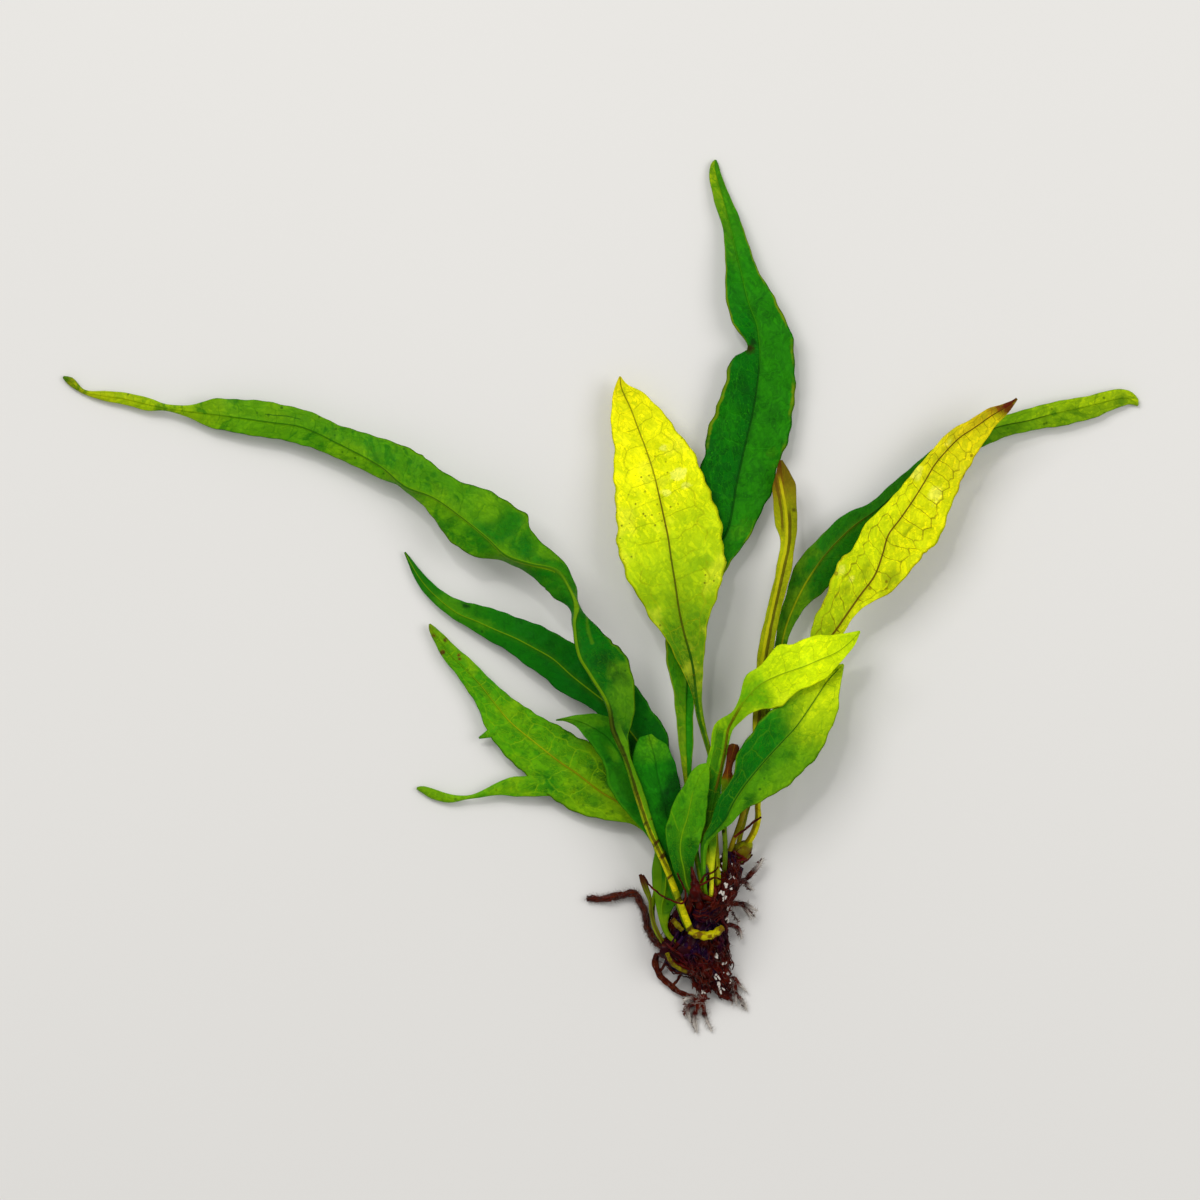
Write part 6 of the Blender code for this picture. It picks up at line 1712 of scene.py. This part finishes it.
def frame_along(places):
    """Directions ahead, level and upwards at each point of a route."""
    ahead = headings(places)
    flat = np.cross(ahead, UP)
    flat /= np.linalg.norm(flat, axis=1)[:, None]
    return ahead, flat, np.cross(flat, ahead)


def wrapped(axis, count, turns, radius, seed):
    """Thin strands that run along a thick route's skin and lift off it at their end."""
    core = smooth_rows(axis, ROUTE_STEP)
    _, flat, over = frame_along(core[:, :3])
    rng = random.Random(seed)
    result = []
    for number in range(count):
        span = rng.randint(12, 30)
        start = rng.randrange(max(len(core) - span, 1))
        picked = np.arange(start, min(start + span, len(core)))
        if rng.random() < 0.65:
            picked = picked[::-1]
        share = np.linspace(0.0, 1.0, len(picked))
        angle = rng.uniform(-0.3, math.pi + 0.3) + share * rng.uniform(-turns, turns)
        away = core[picked, 3] * rng.uniform(0.86, 1.06) + 1.6 * rng.random() * share**3
        places = core[picked, :3]
        places = places + flat[picked] * (np.cos(angle) * away)[:, None]
        places = places + over[picked] * (np.sin(angle) * away)[:, None]
        thick = radius * rng.uniform(0.5, 1.3) * (1.0 - 0.7 * share)
        rows = np.column_stack([places, thick])[::2]
        result.append(strand(rows, 0.35, seed + number, 0.2, (0.1, 0.7)))
    return result


thin_strands = []
for axis, count, seed in (
    (RHIZOME, 56, 900),
    (MASS["middle"], 70, 1200),
    (MASS["low end"], 40, 1500),
    (MASS["prong"], 40, 1600),
    (MASS["shoulder"], 50, 1650),
    (MASS["crown"], 90, 1700),
):
    thin_strands += wrapped(axis, count, 0.9, 0.19, seed)
print("thin roots round it:", len(thin_strands))

# %% The mass of roots and its thin wires
matted = {"Sides": 8, "Knobs": 0.0003, "Hair Density": 1.4e6, "Hair Length": 0.0011}
matted["Hair Finish"] = hair_brown
grow_roots("roots_mass", "rhizome", mass_strands, root_dark, Seed=5, **matted)
grow_roots("roots_thin_wires", "rhizome", thin_strands, root_dark, Seed=8, **matted)

# %% Pale root tips that paint the glints of the wet roots
tips = []
for number, (x, y, z) in enumerate(GLINT_TIPS):
    rng = random.Random(700 + number)
    for _ in range(3):
        turn = rng.uniform(-2.4, -0.6)
        far = rng.uniform(0.5, 0.9)
        here = (x + rng.uniform(-0.4, 0.4), y + rng.uniform(-0.4, 0.4))
        there = (here[0] + far * math.cos(turn), here[1] + far * math.sin(turn))
        rows = smooth_rows([(*here, z - 0.3, 0.26), (*there, z + 0.1, 0.16)], 0.2)
        # Painted glint: each tip is marked almost fully pale.
        tips.append((rows, np.full(len(rows), 0.95), np.full(len(rows), 0.4)))
grow_roots("roots_glint_tips", "rhizome", tips, root_dark, Knobs=0.0002, Seed=7)

# %% The dark core of the mass
core_strands = []
for axis in MASS.values():
    rows = smooth_rows(axis, ROUTE_STEP)
    rows[:, 3] *= 0.95
    rows[:, 2] = np.maximum(rows[:, 2], CENTRE[2] + rows[:, 3] + 0.25)
    core_strands.append(marked_rows(rows))
grow_roots("roots_core", "rhizome", core_strands, root_core, Sides=24, Knobs=0.0006, Seed=6)

# %% The creeping stem
STEM_SIDES = 28
STEM_STEP = 0.35
DOME = 0.7


def stem_mesh(name, route):
    """The stem's tube with shallow scars and ridges, and its maps."""
    rows = smooth_rows(route, STEM_STEP)
    ahead, flat, over = frame_along(rows[:, :3])
    angle = np.linspace(0.0, FULL_TURN, STEM_SIDES, endpoint=False)
    arc = np.arange(len(rows))[:, None] * STEM_STEP
    dent = 0.10 * np.sin(arc * 2.1 + 2.0 * np.sin(angle * 2.0)) + 0.07 * np.sin(angle * 5.0 + arc * 1.3)
    left = np.arange(len(rows))[::-1, None] * STEM_STEP
    dome = np.sqrt(1.0 - (1.0 - np.clip(left / DOME, 0.02, 1.0)) ** 2)
    radius = rows[:, 3:4] * (1.0 + dent * 0.6) * dome
    spokes = flat[:, None] * np.cos(angle)[:, None] + over[:, None] * np.sin(angle)[:, None]
    points = rows[:, None, :3] + spokes * radius[..., None]
    slant = -0.6 * np.cos(angle) * radius * np.clip(1.0 - left / 3.0, 0.0, 1.0)
    points += ahead[:, None, :] * slant[..., None]
    points[..., 2] = np.maximum(points[..., 2], CENTRE[2] + 0.05)
    mesh = ring_mesh(name, points)
    shares = np.repeat(np.linspace(0.0, 1.0, len(rows))[:, None], STEM_SIDES, axis=1)
    angles = np.repeat(angle[None, :], len(rows), axis=0)
    add_map(mesh, "blade_mm", np.repeat(arc, STEM_SIDES, axis=1), angles)
    add_map(mesh, "blade_share", shares, shares * 0.0 + 0.5)
    return mesh


look = Frond("rhizome", "stem_violet_dark", [
    (0.0, 24, 2, 16), (0.5, 20, 0, 30), (0.78, 40, 4, 8), (0.81, 60, 14, 4), (0.84, 96, 96, 0),
    (0.9, 116, 122, 0), (1.0, 136, 142, 0),
])
look.patches((46, 4, 6), 0.7, 0.48, 0.08)
specks(look, (84, 26, 10), 0.7, 700.0, 0.2)
look.over((84, 54, 0), look.ragged.above(0.5, 0.06) * look.along.above(0.8, 0.04) * 0.7)
finished("stem_creeping", "rhizome", [stem_mesh("stem", RHIZOME)], dressed(look, 0.25, 0.9))

# %% [markdown]
# ## Roots that stand clear of the mass
# Each root that leaves the mass is a piece of its own. The long one on the left is
# thick and furry, the runner and the crossing root are bare wires, and the tufts fork
# and end in colourless hairs.

# %% Single roots
long_strands = [strand(LONG_LEFT, 0.2, 61, 0.0, (1.0, 1.0))]
for number in range(7):
    turn = number * 0.9
    route = beside(LONG_LEFT, 0.0, 0.42 * math.cos(turn), 0.3 * (1.0 + math.sin(turn)), 0.36)
    long_strands.append(strand(route, 0.35, 62 + number, 0.1, (1.0, 1.0)))
furry = {"Sides": 8, "Knobs": 0.00035, "Hair Density": 9.0e6, "Hair Length": 0.0008}
furry["Hair Finish"] = hair_brown
grow_roots("root_furry_left", "root_long_left", long_strands, root_brown, Seed=9, **furry)

for name, node, route, sway, seed in (
    ("root_wire_runner", "root_runner", RUNNER, 0.12, 71),
    ("root_wire_crossing", "root_crossing", CROSSING, 0.12, 73),
    ("root_point_spike", "root_spike", SPIKE, 0.1, 75),
):
    bare = strand(route, sway, seed, 0.0, (0.0, 0.3))
    grow_roots(name, node, [bare], root_dark, Knobs=0.00012, Seed=seed)

# %% The loop at the lower left
loop_strands = [strand(LOOP_LEFT, 0.15, 81, 0.0, (0.3, 0.6))]
for number, (right, up) in enumerate(((0.3, 0.1), (-0.3, 0.3), (0.1, 0.5), (0.2, -0.1))):
    route = beside(LOOP_LEFT, right, right * 0.6, up, 0.42)
    loop_strands.append(strand(route, 0.3, 83 + number, 0.0, (0.3, 0.6)))
for number, route in enumerate(ROOTS_INSIDE_LOOP):
    loop_strands.append(strand(route, 0.1, 93 + number, 0.0, (0.3, 0.6)))
wiry = {"Knobs": 0.0002, "Hair Density": 2.5e6, "Hair Length": 0.0006}
grow_roots("root_loop_low", "root_loop_left", loop_strands, root_brown, Seed=3, **wiry)

# %% Olive pieces
for name, node, route, finish in (
    ("branch_olive", "branch_front", BRANCH, olive),
    ("stalk_olive_strip", "stalk_remnant", REMNANT, olive_old),
    ("stalk_olive_stub", "rhizome", STUB, olive_old),
):
    grow_roots(name, node, [strand(route, 0.06, 87)], finish, "frond_withered", Sides=10, Knobs=0.0002)

# %% Forked strands and short pale hairs of a tuft
THINNER = 3


def forked(join, routes, seed):
    """Each branch of a tuft with a few thinner strands beside it."""
    result = []
    for number, route in enumerate(routes):
        route = join + route
        result.append(strand(route, 0.08, seed + number, 0.9, (0.3, 1.0)))
        for extra in range(THINNER):
            rng = random.Random(seed + 10 * number + extra)
            right, away, up = (rng.uniform(-0.3, 0.3) for _ in range(3))
            thinner = beside(route, right, away, up, 0.4)
            result.append(strand(thinner, 0.25, seed + 40 + 9 * number + extra, 1.0, (0.3, 1.0)))
    return result


def fringe(x0, y0, z0, x1, y1, z1, count, seed, rng):
    """Short hairs across a line from one place to another."""
    result = []
    for number in range(count):
        share = (number + rng.random()) / count
        x, y, z = (start + (end - start) * share for start, end in ((x0, x1), (y0, y1), (z0, z1)))
        turn = rng.uniform(-1.9, 0.5)
        far = rng.uniform(0.7, 1.3)
        here = (x - 0.5 * far * math.cos(turn), y - 0.5 * far * math.sin(turn), z, 0.16)
        there = (x + 0.5 * far * math.cos(turn), y + 0.5 * far * math.sin(turn), z, 0.1)
        result.append(strand([here, there], 0.2, seed + 300 + number, 1.0, (0.5, 1.0)))
    return result


print("each branch of a tuft has", 1 + THINNER, "strands")

# %% Tufts with pale hair ends
hairy_ends = {"Sides": 6, "Knobs": 0.00015, "Hair Density": 6.0e6, "Hair Length": 0.0011}
for name, side, seed in (
    ("roots_tuft_bottom", "bottom", 101),
    ("roots_tuft_low", "low_right", 131),
    ("roots_tuft_upper", "upper_right", 161),
    ("roots_tuft_mid", "mid_right", 191),
    ("roots_tuft_lean", "lean_right", 221),
):
    join, *branches = TUFTS[side]
    strands = forked(join, branches, seed)
    rng = random.Random(seed + 90)
    for line in FRINGES[side]:
        strands += fringe(*line, seed, rng)
    grow_roots(name, "root_tuft_" + side, strands, root_dark, Seed=seed, **hairy_ends)

# %% [markdown]
# ## The table, the light and the camera
# The plant lies on a plain pale table. Soft light comes from a big window-like lamp at
# the upper left and a weaker one at the right, over an even pale surrounding, and a
# small lamp gives the wet roots their glints. The camera looks straight down, because
# that is how the photograph shows the plant once it lies flat. Blender's default view
# would turn the strong yellows and greens pale, so the scene uses the Standard view.

# %% Table and surroundings
TABLE_HALF = 2.0
ROOM_LIGHT = 0.42

bm = bmesh.new()
bmesh.ops.create_grid(bm, x_segments=8, y_segments=8, size=TABLE_HALF)
table_mesh = bpy.data.meshes.new("table_top")
bm.to_mesh(table_mesh)
bm.free()
table_top = new_object("table_top", table_mesh)
table = Finish("table_pale", Roughness=0.75)
place = table.add("ShaderNodeTexCoord", {}, {}, output="Object")
cloudy = table.noise(place, 3.0, 3.0)
table.surface(Base_Color=table.blend((226, 224, 220), (218, 216, 212), cloudy))
table_top.data.materials.append(table.material)

world = bpy.data.worlds.new("pale_room")
bpy.context.scene.world = world
world.use_nodes = True
background = world.node_tree.nodes["Background"].inputs
background["Color"].default_value = (1.0, 1.0, 1.0, 1.0)
background["Strength"].default_value = ROOM_LIGHT
print("table at the plant's lowest point, room light", ROOM_LIGHT)

# %% Soft lamps


def soft_lamp(name, place, size, power):
    """A square lamp that faces the middle of the plant."""
    lamp = bpy.data.lights.new(name, "AREA")
    lamp.shape = "SQUARE"
    lamp.size = size
    lamp.energy = power
    obj = new_object(name, lamp)
    obj.location = place
    obj.rotation_euler = (-Vector(place)).to_track_quat("-Z", "Y").to_euler()


soft_lamp("lamp_window", (-0.7, 0.8, 1.2), 0.8, 11.5)
soft_lamp("lamp_right", (0.9, 0.1, 1.0), 0.8, 6.0)
soft_lamp("lamp_glint", (-0.15, 0.5, 0.9), 0.08, 1.2)
print("lamps:", [light.name for light in bpy.data.lights])

# %% The camera over the plant
FRAME_WIDTH = 240.0
FRAME_MIDDLE = (0.0, -1.0)
FILM_WIDTH = 36.0
CAMERA_HEIGHT = 1600.0
PLANT_MIDDLE = 7.0

camera_data = bpy.data.cameras.new("camera_above")
camera_data.sensor_width = FILM_WIDTH
camera_data.lens = FILM_WIDTH * CAMERA_HEIGHT / FRAME_WIDTH
camera_data.clip_start = 0.01
camera = new_object("camera_above", camera_data)
camera.location = (np.array([*FRAME_MIDDLE, CAMERA_HEIGHT + PLANT_MIDDLE]) - CENTRE) * MM
bpy.context.scene.camera = camera
bpy.context.scene.view_settings.view_transform = "Standard"
print("the camera sees", FRAME_WIDTH, "mm across")
